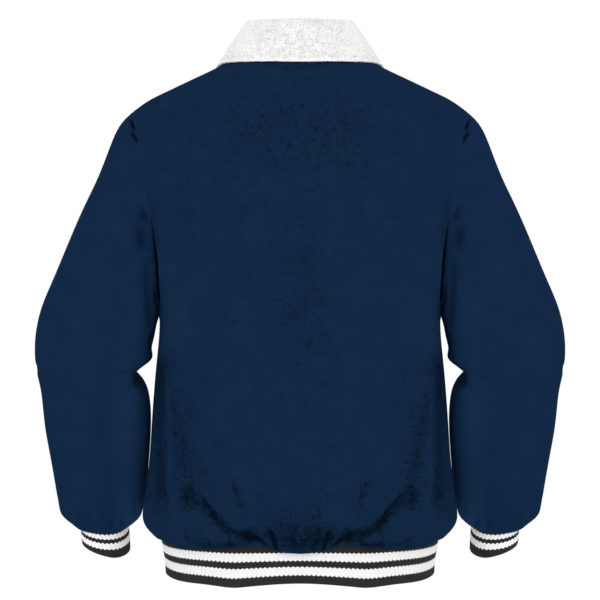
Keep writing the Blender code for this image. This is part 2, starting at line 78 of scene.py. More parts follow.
WOOL_WALL = 0.0022
WOOL_NAVY = (0.0044, 0.0154, 0.0438, 1)
WOOL_NAVY_LIT = (0.0074, 0.0234, 0.0580, 1)
WOOL_NAVY_PAINTED_SHADE = (0.0018, 0.0050, 0.0122, 1)
WOOL_NAVY_PAINTED_LIGHT = (0.0110, 0.0380, 0.0980, 1)
BODY_PANELS = (("back", -1), ("front_left", 1), ("front_right", 1))  # and their way along Y
BODY_LEVELS = 3
MERGE = 0.00002  # corners of neighbouring triangles are this near each other
PAIRING = 1.8  # how strongly triangles are paired along the rows of a wall
LOOKS = 0.7  # a face looks some way if more than this share of its normal points there


def only(piece):
    """Makes a piece the one that operators act on."""
    bpy.ops.object.select_all(action="DESELECT")
    piece.select_set(True)
    bpy.context.view_layer.objects.active = piece


@contextmanager
def editing(first=None):
    """Edit mode, first with all of the piece selected or deselected, or else as it was left."""
    bpy.ops.object.mode_set(mode="EDIT")
    if first:
        bpy.ops.mesh.select_all(action=first)
    yield
    bpy.ops.object.mode_set(mode="OBJECT")


def places(piece, what="co"):
    values = np.zeros(len(piece.data.vertices) * 3)
    piece.data.vertices.foreach_get(what, values)
    return values.reshape(-1, 3)


def outs(piece):
    """The direction out of the cloth at each of a skin's points."""
    return places(piece, "normal")


def put(piece, points):
    piece.data.vertices.foreach_set("co", points.ravel())
    piece.data.update()


def copy_of(piece, name):
    made = piece.copy()
    made.data = piece.data.copy()
    made.name = made.data.name = name
    bpy.context.collection.objects.link(made)
    return made


def stand_in(piece, node_name):
    """Puts a piece in its node's place, hiding the node, on the jacket's one body."""
    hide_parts(node_name)
    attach(piece, "root")


def outer_skin(node_name, name, wall, facing):
    """A copy of the outer face of a node's wall, as rows of quads. facing is a way it looks."""
    skin = copy_of(frame["nodes"][node_name], name)
    skin.parent = None
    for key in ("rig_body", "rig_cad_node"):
        del skin[key]
    skin.data.materials.clear()
    only(skin)
    bpy.ops.mesh.customdata_custom_splitnormals_clear()
    with editing("SELECT"):
        bpy.ops.mesh.remove_doubles(threshold=MERGE)
        bpy.ops.mesh.mark_sharp(clear=True)
        bpy.ops.mesh.tris_convert_to_quads(
            face_threshold=math.pi, shape_threshold=math.pi, topology_influence=PAIRING
        )
        bpy.ops.mesh.select_all(action="DESELECT")
    corners = skin.data.vertices
    for face in skin.data.polygons:  # the rim's faces are as wide as the wall is thick
        around = [corners[v].co for v in face.vertices]
        sides = [(p - q).length for p, q in zip(around, around[1:] + around[:1])]
        face.select = sum(abs(side - wall) < MERGE for side in sides) == 2
    with editing():
        bpy.ops.mesh.delete(type="FACE")
    facing = Vector(facing)
    seen = [face for face in skin.data.polygons if face.normal.dot(facing) > LOOKS]
    max(seen, key=lambda face: face.center.dot(facing)).select = True
    with editing():
        bpy.ops.mesh.select_linked()
        bpy.ops.mesh.select_all(action="INVERT")
        bpy.ops.mesh.delete(type="FACE")
    return skin


def finer(skin, low, high, cuts):
    """Divides a skin's faces inside a box, where its folds are fine. Its edges stay as they are."""
    only(skin)
    open_points = set(rim_of(skin))
    for face in skin.data.polygons:
        inside = all(a < c < b for a, c, b in zip(low, face.center, high))
        face.select = inside and not open_points.intersection(face.vertices)
    with editing():
        bpy.ops.mesh.subdivide(number_cuts=cuts, smoothness=0)


def rim_of(skin):
    """The numbers of the points on a skin's open edges."""
    edge_of_corner = np.zeros(len(skin.data.loops), int)
    skin.data.loops.foreach_get("edge_index", edge_of_corner)
    ends = np.zeros(len(skin.data.edges) * 2, int)
    skin.data.edges.foreach_get("vertices", ends)
    uses = np.bincount(edge_of_corner, minlength=len(skin.data.edges))
    return np.unique(ends.reshape(-1, 2)[uses == 1])


def smooth_through(skin, levels):
    """Subdivides a skin. Subdivision draws a curved wall in from its corners, so they are moved
    out first by as much, and the wall still passes through where they were."""
    corners = places(skin)
    only(skin)
    modifier = skin.modifiers.new("smooth", "SUBSURF")
    modifier.levels = modifier.render_levels = levels
    modifier.boundary_smooth = "PRESERVE_CORNERS"
    for _ in range(3):
        seen = skin.evaluated_get(bpy.context.evaluated_depsgraph_get())
        put(skin, places(skin) + corners - places(seen)[: len(corners)])
    bpy.ops.object.modifier_apply(modifier="smooth")


# sides: its half widths left and right of its run; shade: how much painted shade darkens its
# trough; on a ridge it takes painted shade away
Fold = namedtuple("Fold", "seen_from sides line shade", defaults=(0.6,))
WAYS_IN = {
    "back": (0, 1, 0), "front": (0, -1, 0), "right": (-1, 0, 0), "left": (1, 0, 0),
    "inside": (1, 0, 0),
}

# Each place on a fold's line is how far across, how high and how deep: above 0 a trough, below
# 0 a ridge. Those of the back are on its right half and come again on its left one.
# each trough also gets painted shade by its fold's shade; the shallow folds with a large shade are
# little more than painted shade
BACK_FOLDS = [
    Fold("back", (0.028, 0.030), [  # the broad hollow down the hip
        (0.1765, -0.372, 0), (0.1770, -0.388, 0.0013), (0.1775, -0.415, 0.0015),
        (0.1785, -0.445, 0.0013), (0.1790, -0.480, 0.0013), (0.1790, -0.520, 0.0014),
        (0.1775, -0.550, 0.0016), (0.1765, -0.568, 0.0011), (0.1740, -0.590, 0),
    ], 1.10),
    Fold("back", (0.0038, 0.0036), [  # and the long ridge on its inner side
        (0.1715, -0.385, 0), (0.1695, -0.415, -0.0016), (0.1675, -0.445, -0.0022),
        (0.1650, -0.480, -0.0026), (0.1645, -0.510, -0.0028), (0.1665, -0.535, -0.0024),
        (0.1640, -0.552, -0.0008), (0.1600, -0.565, 0),
    ], 0.9),
    Fold("back", (0.013, 0.028), [
        (0.1620, -0.415, 0), (0.1590, -0.445, 0.0008), (0.1560, -0.473, 0.0010),
        (0.1480, -0.500, 0.0011), (0.1415, -0.524, 0.0012), (0.1420, -0.548, 0.0010),
        (0.1400, -0.575, 0),
    ], 1.05),
    Fold("back", (0.0090, 0.0130), [  # the deep hollow at the head of the trough
        (0.1470, -0.536, 0), (0.1445, -0.5470, 0.0022), (0.1425, -0.5600, 0.0027),
        (0.1415, -0.574, 0.0019), (0.1410, -0.586, 0),
    ], 0.40),
    Fold("back", (0.0078, 0.0078), [  # the long slanting trough over the waistband
        (0.1390, -0.5530, 0.0006), (0.1280, -0.5600, 0.0018), (0.1180, -0.5690, 0.0032),
        (0.1097, -0.5765, 0.0042), (0.1020, -0.5850, 0.0042), (0.0950, -0.5925, 0.0032),
        (0.0880, -0.5985, 0.0025), (0.0800, -0.6025, 0.0024), (0.0689, -0.6070, 0.0026),
        (0.0560, -0.6140, 0.0018),
    ], 0.55),
    Fold("back", (0.015, 0.016), [
        (0.1000, -0.586, 0), (0.0880, -0.594, 0.0003), (0.0740, -0.600, 0.0004),
        (0.0500, -0.602, 0.0004), (0.0300, -0.600, 0),
    ], 2.1),
    Fold("back", (0.012, 0.030), [  # shallow gathers across the middle of the hem
        (0.0520, -0.6020, 0), (0.0400, -0.6080, 0.0005), (0.0240, -0.6120, 0.0005),
        (0.0100, -0.6130, 0.0004), (0, -0.6130, 0.0003),
    ], 2.0),
    Fold("back", (0.0060, 0.0080), [
        (0.1050, -0.6120, 0), (0.0950, -0.6160, 0.0008), (0.0780, -0.6175, 0.0008),
        (0.0620, -0.6160, 0.0006), (0.0500, -0.6120, 0),
    ], 1.4),
    Fold("back", (0.0026, 0.0026), [  # a fine crease above it
        (0.1290, -0.5480, 0), (0.1230, -0.5560, 0.0016), (0.1120, -0.5680, 0.0016),
        (0.1046, -0.5772, 0.0006),
    ], 0.8),
    Fold("back", (0.009, 0.006), [  # the roll of cloth under it
        (0.1250, -0.584, 0), (0.1040, -0.602, -0.0026), (0.0830, -0.613, -0.0030),
        (0.0600, -0.620, -0.0010),
    ], 0.2),
    Fold("back", (0.0070, 0.0070), [  # a short trough farther in
        (0.0840, -0.5260, 0), (0.0825, -0.5350, 0.0018), (0.0800, -0.5460, 0.0021),
        (0.0760, -0.5560, 0.0018), (0.0720, -0.5660, 0.0014), (0.0690, -0.5780, 0),
    ], 0.75),
    Fold("back", (0.0026, 0.0024), [  # the sharp pleat beside the middle
        (0.0366, -0.5930, 0), (0.0352, -0.6000, 0.0024), (0.0325, -0.6110, 0.0032),
        (0.0290, -0.6230, 0.0030),
    ], 1.0),
    Fold("back", (0.0030, 0.0034), [  # and the one where the hem lifts
        (0.0660, -0.6080, 0), (0.0570, -0.6120, 0.0024), (0.0480, -0.6165, 0.0030),
        (0.0430, -0.6190, 0.0020),
    ], 0.9),
    Fold("back", (0.020, 0.016), [
        (0.1200, -0.335, 0), (0.1220, -0.395, 0.0010), (0.1230, -0.440, 0.0012),
        (0.1220, -0.480, 0),
    ], 0.30),
    Fold("back", (0.009, 0.008), [  # soft gathers over the hem
        (0.1500, -0.604, 0), (0.1350, -0.613, 0.0011), (0.1100, -0.619, 0.0013),
        (0.0850, -0.619, 0.0011), (0.0700, -0.616, 0),
    ], 1.0),
    Fold("back", (0.020, 0.022), [
        (0.0450, -0.525, 0), (0.0330, -0.550, 0.0007), (0.0210, -0.575, 0.0008),
        (0.0120, -0.602, 0.0005),
    ], 0.9),
    Fold("back", (0.0060, 0.0060), [  # the shadow side of the shoulders, under the collar
        (0.0500, -0.0060, 0), (0.0350, -0.0110, 0.0008), (0.0160, -0.0140, 0.0010),
        (0.0040, -0.0140, 0.0006), (0, -0.0140, 0.0005),
    ], 1.1),
    Fold("back", (0.060, 0.058), [  # the broad hollow between the shoulder blades
        (0.0580, -0.030, 0), (0.0550, -0.050, 0.0004), (0.0500, -0.080, 0.0006),
        (0.0500, -0.115, 0.0006), (0.0480, -0.150, 0.0003), (0.0440, -0.200, 0),
    ], 1.35),
    Fold("back", (0.028, 0.028), [  # and down the middle
        (0.0040, -0.150, 0), (0.0060, -0.200, 0.0005), (0.0100, -0.290, 0.0006),
        (0.0140, -0.360, 0.0006), (0.0160, -0.430, 0.0003), (0.0180, -0.470, 0),
    ], 0.7),
]
FRONT_FOLDS = [
    Fold("right", (0.030, 0.008), [  # the body's side swells on to the arm below the armhole
        (-0.020, -0.316, 0), (-0.010, -0.323, -0.0024), (0.010, -0.326, -0.0024),
        (0.030, -0.322, 0),
    ], 0),
    Fold("front", (0.016, 0.008), [
        (0.1660, -0.400, 0), (0.1600, -0.455, -0.0022), (0.1540, -0.520, -0.0026),
        (0.1480, -0.575, 0),
    ], 0.3),
    Fold("front", (0.009, 0.007), [
        (0.1420, -0.525, 0), (0.1260, -0.558, 0.0028), (0.1030, -0.585, 0.0034),
        (0.0820, -0.606, 0.0020),
    ], 0.25),
    Fold("front", (0.006, 0.009), [
        (0.0700, -0.545, 0), (0.0660, -0.570, 0.0022), (0.0580, -0.596, 0.0026),
        (0.0540, -0.612, 0.0010),
    ], 0.25),
    Fold("front", (0.016, 0.020), [
        (0.1500, -0.250, 0), (0.1280, -0.300, 0.0014), (0.1100, -0.360, 0.0018),
        (0.1040, -0.430, 0),
    ], 0.25),
    Fold("front", (0.010, 0.014), [
        (0.0480, -0.330, 0), (0.0440, -0.400, 0.0012), (0.0470, -0.470, 0.0010),
        (0.0500, -0.520, 0),
    ], 0.25),
]
SHADED_AT = 0.0030  # a fold this deep gets the full painted shade
PAINTED_LIGHT_FROM = 0.10  # how far cloth is turned to its neighbour, which shades it, before it gets painted light
BODY_PAINTED_LIGHT_NARROW = 4.0
BODY_PAINTED_LIGHT = ((-0.395, 0), (-0.360, 1), (-0.265, 1), (-0.225, 0))
GATHER_TOP = -0.586
GATHER_FOOT = -0.6195
HEM_FOLDS_TOP = -0.530  # the finest folds of the back are below this
HEM_FOLDS_REACH = 0.175


def mirrored(fold):
    """The same fold on the other half."""
    if fold.seen_from == "right":
        return fold._replace(seen_from="left", sides=fold.sides[::-1])
    line = [(-x, z, depth) for x, z, depth in fold.line]
    return fold._replace(sides=fold.sides[::-1], line=line)


def hem_gathers(seen_from, reach, seed):
    """Short uneven puckers where the cloth is gathered on to the band."""
    chance = np.random.default_rng(seed)
    across = -reach
    gathers = []
    while across < reach:
        depth = chance.uniform(0.0005, 0.0017)
        slant = chance.uniform(-0.006, 0.006)
        top = GATHER_TOP + chance.uniform(-0.016, 0.018)
        half = chance.uniform(0.0035, 0.0065)
        gathers.append(Fold(seen_from, (half, half * chance.uniform(0.8, 1.3)), [
            (across + slant, top, 0), (across + slant / 2, (top + GATHER_FOOT) / 2, depth),
            (across, GATHER_FOOT, depth * 0.8),
        ]))
        across += chance.uniform(0.017, 0.034)
    return gathers


def surface_of(skins):
    """One search tree over all the faces of several skins."""
    corners, faces = [], []
    for skin in skins:
        first = len(corners)
        corners.extend(vertex.co.copy() for vertex in skin.data.vertices)
        faces.extend([first + v for v in face.vertices] for face in skin.data.polygons)
    return BVHTree.FromPolygons(corners, faces)


def laid(surface, fold):
    """A fold's line on the cloth, with rounded corners: rows of x, y, z and depth."""
    line = np.array(fold.line, float)
    for _ in range(3):
        early = 0.75 * line[:-1] + 0.25 * line[1:]
        late = 0.25 * line[:-1] + 0.75 * line[1:]
        between = np.stack([early, late], axis=1).reshape(-1, 3)
        line = np.concatenate([line[:1], between, line[-1:]])
    way_in = Vector(WAYS_IN[fold.seen_from])
    found = []
    for across, height, depth in line:
        start = Vector((across, 0, height)) if way_in.y else Vector((0, across, height))
        hit = surface.ray_cast(start - way_in, way_in)[0]
        if hit is not None:
            found.append((*hit, depth))
    return np.array(found)


def write(skin, name, values):
    """Writes a value at each of a skin's points, for its material."""
    skin.data.attributes.new(name, "FLOAT", "POINT").data.foreach_set("value", values)


def press(skins, folds):
    """Presses folds into cloth: it moves in along their lines and eases back at each side, and
    their troughs get painted shade.
    """
    surface = surface_of(skins)
    lines = [laid(surface, fold) for fold in folds]
    for skin in skins:
        points, away = places(skin), outs(skin)
        depths, hollow = np.zeros(len(points)), np.zeros(len(points))
        for fold, line in zip(folds, lines):
            if len(line) < 2:
                continue
            reach = 3 * max(fold.sides)
            low, high = line[:, :3].min(0) - reach, line[:, :3].max(0) + reach
            near = np.flatnonzero(((points > low) & (points < high)).all(axis=1))
            if not len(near):
                continue
            starts, steps = line[:-1], np.diff(line, axis=0)
            runs = steps[:, :3]
            offsets = points[near, None] - starts[None, :, :3]
            along = np.einsum("pkc,kc->pk", offsets, runs) / (runs**2).sum(1)
            along = along.clip(0, 1)
            offsets -= along[:, :, None] * runs
            gaps = np.linalg.norm(offsets, axis=2)
            nearest = gaps.argmin(axis=1)
            each = np.arange(len(near))
            aside = np.cross(runs[nearest], offsets[each, nearest])
            on_left = (aside * away[near]).sum(1) > 0
            half = np.where(on_left, fold.sides[0], fold.sides[1])
            depth = starts[nearest, 3] + along[each, nearest] * steps[nearest, 3]
            pressed = depth * np.exp(-((gaps[each, nearest] / half) ** 2))
            depths[near] += pressed
            # painted shade, by the fold's depth and its shade
            hollow[near] += fold.shade * pressed / SHADED_AT
        put(skin, points - depths[:, None] * away)
        write(skin, "hollow", hollow.clip(0, 1))


HEM_LIFTS = (  # how far the blouse's lower turn rises at each distance from the middle
    (0, -0.0020), (0.018, -0.0010), (0.030, 0.0012), (0.038, 0.0040), (0.047, 0.0075),
    (0.056, 0.0088), (0.066, 0.0076), (0.075, 0.0058), (0.087, 0.0040), (0.100, 0.0026),
    (0.120, 0.0014), (0.140, 0.0012), (0.155, 0.0024), (0.168, 0.0052), (0.178, 0.0080),
    (0.200, 0.0086),
)
HEM_TURN = -0.6225  # the lowest line of the blouse
HEM_SEAM = -0.6125  # where it is sewn to the band
HEM_EASE = 0.050  # the cloth above follows the turn this far up


def eased(share):
    """Shares, held between 0 and 1, that leave the one and reach the other softly."""
    share = share.clip(0, 1)
    return share * share * (3 - 2 * share)


def lift_hem(skin):
    """Raises the blouse's turn where the gathers pull it up. Its seam to the band stays."""
    points, away = places(skin), outs(skin)
    lift = np.interp(abs(points[:, 0]), *zip(*HEM_LIFTS))
    outside = lift * (1 - eased((points[:, 2] - HEM_TURN) / HEM_EASE))
    under = lift * ((HEM_SEAM - points[:, 2]) / (HEM_SEAM - HEM_TURN)).clip(0, 1)
    outwards = (away[:, 1] * np.sign(points[:, 1])) > 0
    points[:, 2] += np.where(outwards | (points[:, 2] > HEM_SEAM + 0.001), outside, under)
    put(skin, points)


def node(tree, kind, inputs=(), **settings):
    """Adds a shader node with its settings. An input is a value or the socket that feeds it."""
    made = tree.nodes.new("ShaderNode" + kind)
    for name, value in settings.items():
        setattr(made, name, value)
    for name, value in dict(inputs).items():
        if isinstance(value, bpy.types.NodeSocket):
            tree.links.new(value, made.inputs[name])
        else:
            made.inputs[name].default_value = value
    return made


def maths(tree, operation, first, second=0.0):
    return node(tree, "Math", {0: first, 1: second}, operation=operation).outputs[0]


def weighed(tree, *parts):
    """Adds up sockets. Each part is a socket and its weight."""
    total = None
    for socket, weight in parts:
        part = socket if weight == 1 else maths(tree, "MULTIPLY", socket, weight)
        total = part if total is None else maths(tree, "ADD", total, part)
    return total


def ramp(tree, value, low, high, start=0.0, end=1.0, **settings):
    """What goes evenly from start to end while a value goes from low to high."""
    inputs = {"Value": value, "From Min": low, "From Max": high, "To Min": start, "To Max": end}
    return node(tree, "MapRange", inputs, **settings).outputs[0]


def blend(tree, share, low, high):
    """Two colours mixed by a share from 0 to 1."""
    mixed = {0: share, 6: low, 7: high}
    return node(tree, "Mix", mixed, data_type="RGBA", clamp_factor=True).outputs[2]


def send(tree, inputs, **sockets):
    """Feeds sockets to the inputs of the same names, which have a space for each _."""
    for name, socket in sockets.items():
        tree.links.new(socket, inputs[name.replace("_", " ")])


def effect(name, inputs, outputs):
    """A new node group: its tree, what comes in and what goes out."""
    tree = bpy.data.node_groups.new(name, "ShaderNodeTree")
    for socket, value in inputs.items():
        kind = "NodeSocketVector" if value is None else "NodeSocketFloat"
        made = tree.interface.new_socket(socket, in_out="INPUT", socket_type=kind)
        if value is not None:
            made.default_value = value
    for socket in outputs:
        tree.interface.new_socket(socket, in_out="OUTPUT", socket_type="NodeSocketFloat")
    return tree, tree.nodes.new("NodeGroupInput").outputs, tree.nodes.new("NodeGroupOutput").inputs


def speckle(tree, place, size, detail=3.0, roughness=0.6):
    """Noise with features of a size in metres."""
    scale = maths(tree, "DIVIDE", 1.0, size)
    inputs = {"Vector": place, "Scale": scale, "Detail": detail, "Roughness": roughness}
    return node(tree, "TexNoise", inputs).outputs[0]


def nap_effect():
    """Brushed fibres: fine hairs that lie down the cloth, and broad cloudy patches."""
    tree, come, go = effect(
        "brushed nap", {"Place": None, "Hair": 0.0009, "Patch": 0.006}, ("Light", "Height")
    )
    down = node(tree, "Mapping", {"Vector": come["Place"], "Scale": (1, 1, 0.45)}).outputs[0]
    hair = speckle(tree, down, come["Hair"], 4.0, 0.7)
    patch = speckle(tree, come["Place"], come["Patch"])
    cloud = speckle(tree, come["Place"], maths(tree, "MULTIPLY", come["Patch"], 7.0), 1.0)
    light = ramp(tree, weighed(tree, (hair, 0.5), (patch, 0.4), (cloud, 0.3)), 0.42, 0.78)
    send(tree, go, Light=light, Height=weighed(tree, (hair, 1), (patch, 0.6)))
    return tree


def hollow_effect():
    """Painted shade for the troughs of folds: dark specks that run together as the shade gets
    deeper.
    """
    tree, come, go = effect(
        "shaded hollow", {"Place": None, "Hollow": 0.0, "Speck": 0.0012}, ("Dark",)
    )
    fine = speckle(tree, come["Place"], come["Speck"], 3.0, 0.7)
    wide = speckle(tree, come["Place"], maths(tree, "MULTIPLY", come["Speck"], 5.0), 2.0)
    grain = weighed(tree, (fine, 0.75), (wide, 0.25))
    threshold = ramp(tree, grain, 0.37, 0.63, 0.02, 1.0, clamp=False)
    over = maths(tree, "SUBTRACT", come["Hollow"], threshold)
    send(tree, go, Dark=ramp(tree, over, -0.16, 0.16))
    return tree


def edge_wear_and_highlight_effect():
    """Wear and painted highlight along sewn and cut edges, broken up so that it is uneven."""
    tree, come, go = effect("edge rub", {"Place": None, "Edge": 0.0, "Amount": 0.5}, ("Rubbed",))
    uneven = speckle(tree, come["Place"], 0.012, 4.0)
    worn_and_lit = maths(tree, "MULTIPLY", come["Edge"], uneven)
    send(tree, go, Rubbed=maths(tree, "MULTIPLY", worn_and_lit, come["Amount"]))
    return tree


def new_material(name, **values):
    """A material with these values on its Principled shader. Gives it, its tree, that shader and
    the socket of the place on the piece."""
    material = bpy.data.materials.new(name)
    material.use_nodes = True
    tree = material.node_tree
    shader = tree.nodes["Principled BSDF"]
    for socket, value in values.items():
        shader.inputs[socket.replace("_", " ")].default_value = value
    return material, tree, shader, node(tree, "TexCoord").outputs["Object"]


def use(tree, group, **inputs):
    """Places an effect in a material, and gives its outputs."""
    return node(tree, "Group", inputs, node_tree=group).outputs


def mask(tree, name):
    """A value that is written at each point of a piece."""
    return node(tree, "Attribute", attribute_name=name).outputs["Fac"]


def raise_surface(tree, shader, height, distance, strength=1.0):
    """Feeds a height through a Bump node into a shader's normal."""
    bump = node(tree, "Bump", {"Height": height, "Distance": distance, "Strength": strength})
    send(tree, shader.inputs, Normal=bump.outputs[0])


NAP = nap_effect()
PAINTED_SHADE_SPECKS = hollow_effect()
EDGE_WEAR_AND_HIGHLIGHT = edge_wear_and_highlight_effect()


def mark_painted_light(skin, outwards, narrow, by_height):
    """Writes painted light on cloth that is turned towards the cloth beside it, which shades it,
    from how far it is turned outwards (1) or inwards (-1) and from its height. narrow: how soon it
    fades where the cloth turns away. The last argument lists heights, from low to high, and values."""
    points, away = places(skin), outs(skin)
    turn = away[:, 0] * np.sign(points[:, 0]) * outwards
    turned = ((turn - PAINTED_LIGHT_FROM) / (1 - PAINTED_LIGHT_FROM)).clip(0, 1) ** narrow
    write(skin, "painted_light", turned * np.interp(points[:, 2], *zip(*by_height)))


def melton():
    material, tree, shader, place = new_material(
        "navy melton", Roughness=0.95, IOR=1.15, Specular_IOR_Level=0.02,
        Sheen_Weight=0.015, Sheen_Roughness=0.45, Sheen_Tint=(0.10, 0.35, 0.90, 1),
    )
    nap = use(tree, NAP, Place=place, Hair=0.0011, Patch=0.0032)
    # wear and painted highlight along the edges, added to the nap's own tone
    wear_and_highlight = use(tree, EDGE_WEAR_AND_HIGHLIGHT, Place=place, Edge=mask(tree, "edge"), Amount=0.9)
    # painted shade in the troughs of the folds: specks of a darker navy
    sunk = use(tree, PAINTED_SHADE_SPECKS, Place=place, Hollow=mask(tree, "hollow"), Speck=0.0013)
    light = maths(tree, "ADD", nap["Light"], wear_and_highlight["Rubbed"])
    navy = blend(tree, light, WOOL_NAVY, WOOL_NAVY_LIT)
    # painted light on the side of the body that the sleeve shades
    navy = blend(tree, mask(tree, "painted_light"), navy, WOOL_NAVY_PAINTED_LIGHT)
    send(tree, shader.inputs, Base_Color=blend(tree, sunk["Dark"], navy, WOOL_NAVY_PAINTED_SHADE))
    raise_surface(tree, shader, nap["Height"], 0.0005, 0.6)
    return material


body = [outer_skin(name, f"wool_{name}", WOOL_WALL, (0, way, 0)) for name, way in BODY_PANELS]
back, front_left, front_right = body
for skin in body:
    smooth_through(skin, BODY_LEVELS)
finer(back, (-HEM_FOLDS_REACH, -1, GATHER_FOOT), (HEM_FOLDS_REACH, 0, HEM_FOLDS_TOP), 1)
for skin in body:
    mark_painted_light(skin, 1, BODY_PAINTED_LIGHT_NARROW, BODY_PAINTED_LIGHT)
body_folds = BACK_FOLDS + FRONT_FOLDS
body_folds += [mirrored(fold) for fold in body_folds]
body_folds += hem_gathers("back", 0.165, 3) + hem_gathers("front", 0.160, 8)
press(body, body_folds)
for skin, (node_name, _) in zip(body, BODY_PANELS):
    lift_hem(skin)
    stand_in(skin, node_name)


# ---- Leather sleeves ---------------------------------------------------------------------
# Smooth navy leather, each sleeve one tube with two small pleats at its cap, set in round the
# armhole and gathered into the cuff. The left one is the right one's mirror image.

LEATHER_WALL = 0.0018
LEATHER_NAVY = (0.0050, 0.0196, 0.0552, 1)
LEATHER_NAVY_LIT = (0.0071, 0.0230, 0.0622, 1)
LEATHER_NAVY_PAINTED_SHADE = (0.0014, 0.0038, 0.0100, 1)
LEATHER_NAVY_PAINTED_LIGHT = (0.0230, 0.0770, 0.1930, 1)
SLEEVE_LEVELS = 3
SLEEVE_FOLDS = [
    Fold("back", (0.0022, 0.0026), [  # two short pleats at the cap
        (0.2195, -0.0745, 0.0012), (0.2155, -0.0830, 0.0030), (0.2105, -0.0925, 0.0004),
    ], 1.6),
    Fold("back", (0.0020, 0.0022), [
        (0.2195, -0.0890, 0.0002), (0.2130, -0.0985, 0.0030), (0.2065, -0.1080, 0.0006),
    ], 1.3),
    Fold("back", (0.0050, 0.0050), [  # hollows beside the body, with a ridge between
        (0.2035, -0.186, 0), (0.1995, -0.196, 0.0018), (0.1965, -0.206, 0.0014),
        (0.1945, -0.213, 0),
    ], 0.80),
    Fold("back", (0.0030, 0.0030), [
        (0.2050, -0.2090, 0), (0.1990, -0.2125, -0.0014), (0.1920, -0.2190, -0.0016),
    ], 0.4),
    Fold("back", (0.0065, 0.0095), [
        (0.2050, -0.2150, 0.0008), (0.2030, -0.2280, 0.0022), (0.2010, -0.2400, 0.0016),
        (0.1995, -0.2510, 0),
    ], 0.80),
    Fold("back", (0.0080, 0.0070), [  # the long hollow under the arm
        (0.1965, -0.252, 0), (0.1945, -0.265, 0.0018), (0.1930, -0.300, 0.0020),
        (0.1925, -0.335, 0.0018), (0.1920, -0.345, 0),
    ], 0.55),
    Fold("back", (0.0060, 0.0060), [
        (0.1915, -0.348, 0), (0.1915, -0.356, 0.0016), (0.1925, -0.366, 0.0012),
        (0.1960, -0.378, 0),
    ], 0.5),
    Fold("back", (0.005, 0.007), [  # the bend of the elbow
        (0.2100, -0.4000, 0.0030), (0.2220, -0.4030, 0.0020), (0.2400, -0.4100, 0.0010),
        (0.2600, -0.4200, 0),
    ], 0.06),
    Fold("back", (0.006, 0.005), [
        (0.2050, -0.4080, 0.0024), (0.2150, -0.4200, 0.0018), (0.2250, -0.4360, 0),
    ], 0.08),
    Fold("back", (0.006, 0.006), [
        (0.3430, -0.3950, 0.0018), (0.3300, -0.4015, 0.0016), (0.3120, -0.4060, 0.0008),
        (0.2950, -0.4080, 0),
    ], 0.08),
    Fold("front", (0.007, 0.006), [
        (0.2080, -0.3940, 0.0040), (0.2260, -0.3960, 0.0034), (0.2500, -0.3900, 0.0024),
        (0.2780, -0.3760, 0),
    ], 0.04),
    Fold("front", (0.006, 0.008), [
        (0.2100, -0.4080, 0.0030), (0.2340, -0.4150, 0.0030), (0.2620, -0.4120, 0.0016),
        (0.2850, -0.4040, 0),
    ], 0.04),
    Fold("front", (0.012, 0.009), [
        (0.2050, -0.2200, 0.0010), (0.2200, -0.2500, 0.0026), (0.2420, -0.2900, 0.0018),
        (0.2600, -0.3300, 0),
    ], 0.4),
    Fold("right", (0.016, 0.012), [
        (-0.0200, -0.3600, 0), (0.0050, -0.3900, 0.0016), (0.0300, -0.4100, 0.0018),
        (0.0550, -0.4200, 0),
    ], 0.4),
    Fold("inside", (0.010, 0.030), [  # the arm swells on to the body below the armhole
        (-0.030, -0.314, 0), (-0.012, -0.323, -0.0025), (0.010, -0.326, -0.0025),
        (0.030, -0.322, 0),
    ], 0),
    Fold("inside", (0.012, 0.012), [  # and is full all round just above the cuff
        (0.040, -0.590, 0), (0.055, -0.594, -0.0028), (0.080, -0.597, -0.0028),
        (0.100, -0.598, 0),
    ], 0),
    Fold("right", (0.012, 0.012), [
        (0.040, -0.590, 0), (0.055, -0.594, -0.0022), (0.080, -0.597, -0.0022),
        (0.100, -0.598, 0),
    ], 0),
    Fold("inside", (0.030, 0.030), [  # the forearm bulges against the body
        (0.0250, -0.4300, 0), (0.0350, -0.4700, -0.0014), (0.0450, -0.5200, -0.0018),
        (0.0580, -0.5600, -0.0014), (0.0650, -0.5850, 0),
    ], 0),
]
FINE_FOLDS = (  # boxes, by two corners, where a sleeve's folds are fine, and the cuts there
    ((0.202, -1, -0.113), (0.226, -0.025, -0.068), 2),  # the pleats at the cap
    ((0.186, -1, -0.260), (0.212, 0, -0.180), 1),  # the hollows beside the body
    ((0.190, -1, -0.440), (0.262, 1, -0.374), 1),  # the elbow
)
SLEEVE_END = -0.600
END_LIFT = 0.0036  # the sleeve's gathered end sits this much higher on its cuff
END_LIFT_FROM = -0.572
END_LIFT_EASE = 0.030
SLEEVE_PAINTED_LIGHT_NARROW = 1.5
SLEEVE_PAINTED_LIGHT = (
    (-0.606, 0.8), (-0.480, 0.85), (-0.430, 0.65), (-0.385, 0.35), (-0.270, 0.35), (-0.200, 0)
)


def cuff_gathers(seen_from, low, high, seed):
    """Short uneven puckers where a sleeve is gathered into its cuff."""
    chance = np.random.default_rng(seed)
    across = low
    gathers = []
    while across < high:
        depth = chance.uniform(0.0008, 0.0020)
        top = SLEEVE_END + chance.uniform(0.026, 0.048)
        gathers.append(Fold(seen_from, (0.0040, 0.0050), [
            (across + chance.uniform(-0.006, 0.006), top, 0), (across, SLEEVE_END, depth),
            (across, SLEEVE_END - 0.008, depth),
        ], 0.25))
        across += chance.uniform(0.012, 0.021)
    return gathers


def draw_up(skin):
    """Raises the gathered end of a sleeve, so that it rolls over higher on the cuff."""
    points = places(skin)
    points[:, 2] += END_LIFT * eased((END_LIFT_FROM - points[:, 2]) / END_LIFT_EASE)
    put(skin, points)


def other_hand(skin, name):
    """A mirror image of a right-hand skin for the left side."""
    made = copy_of(skin, name)
    put(made, places(skin) * (-1, 1, 1))
    only(made)
    with editing("SELECT"):
        bpy.ops.mesh.flip_normals()
    return made


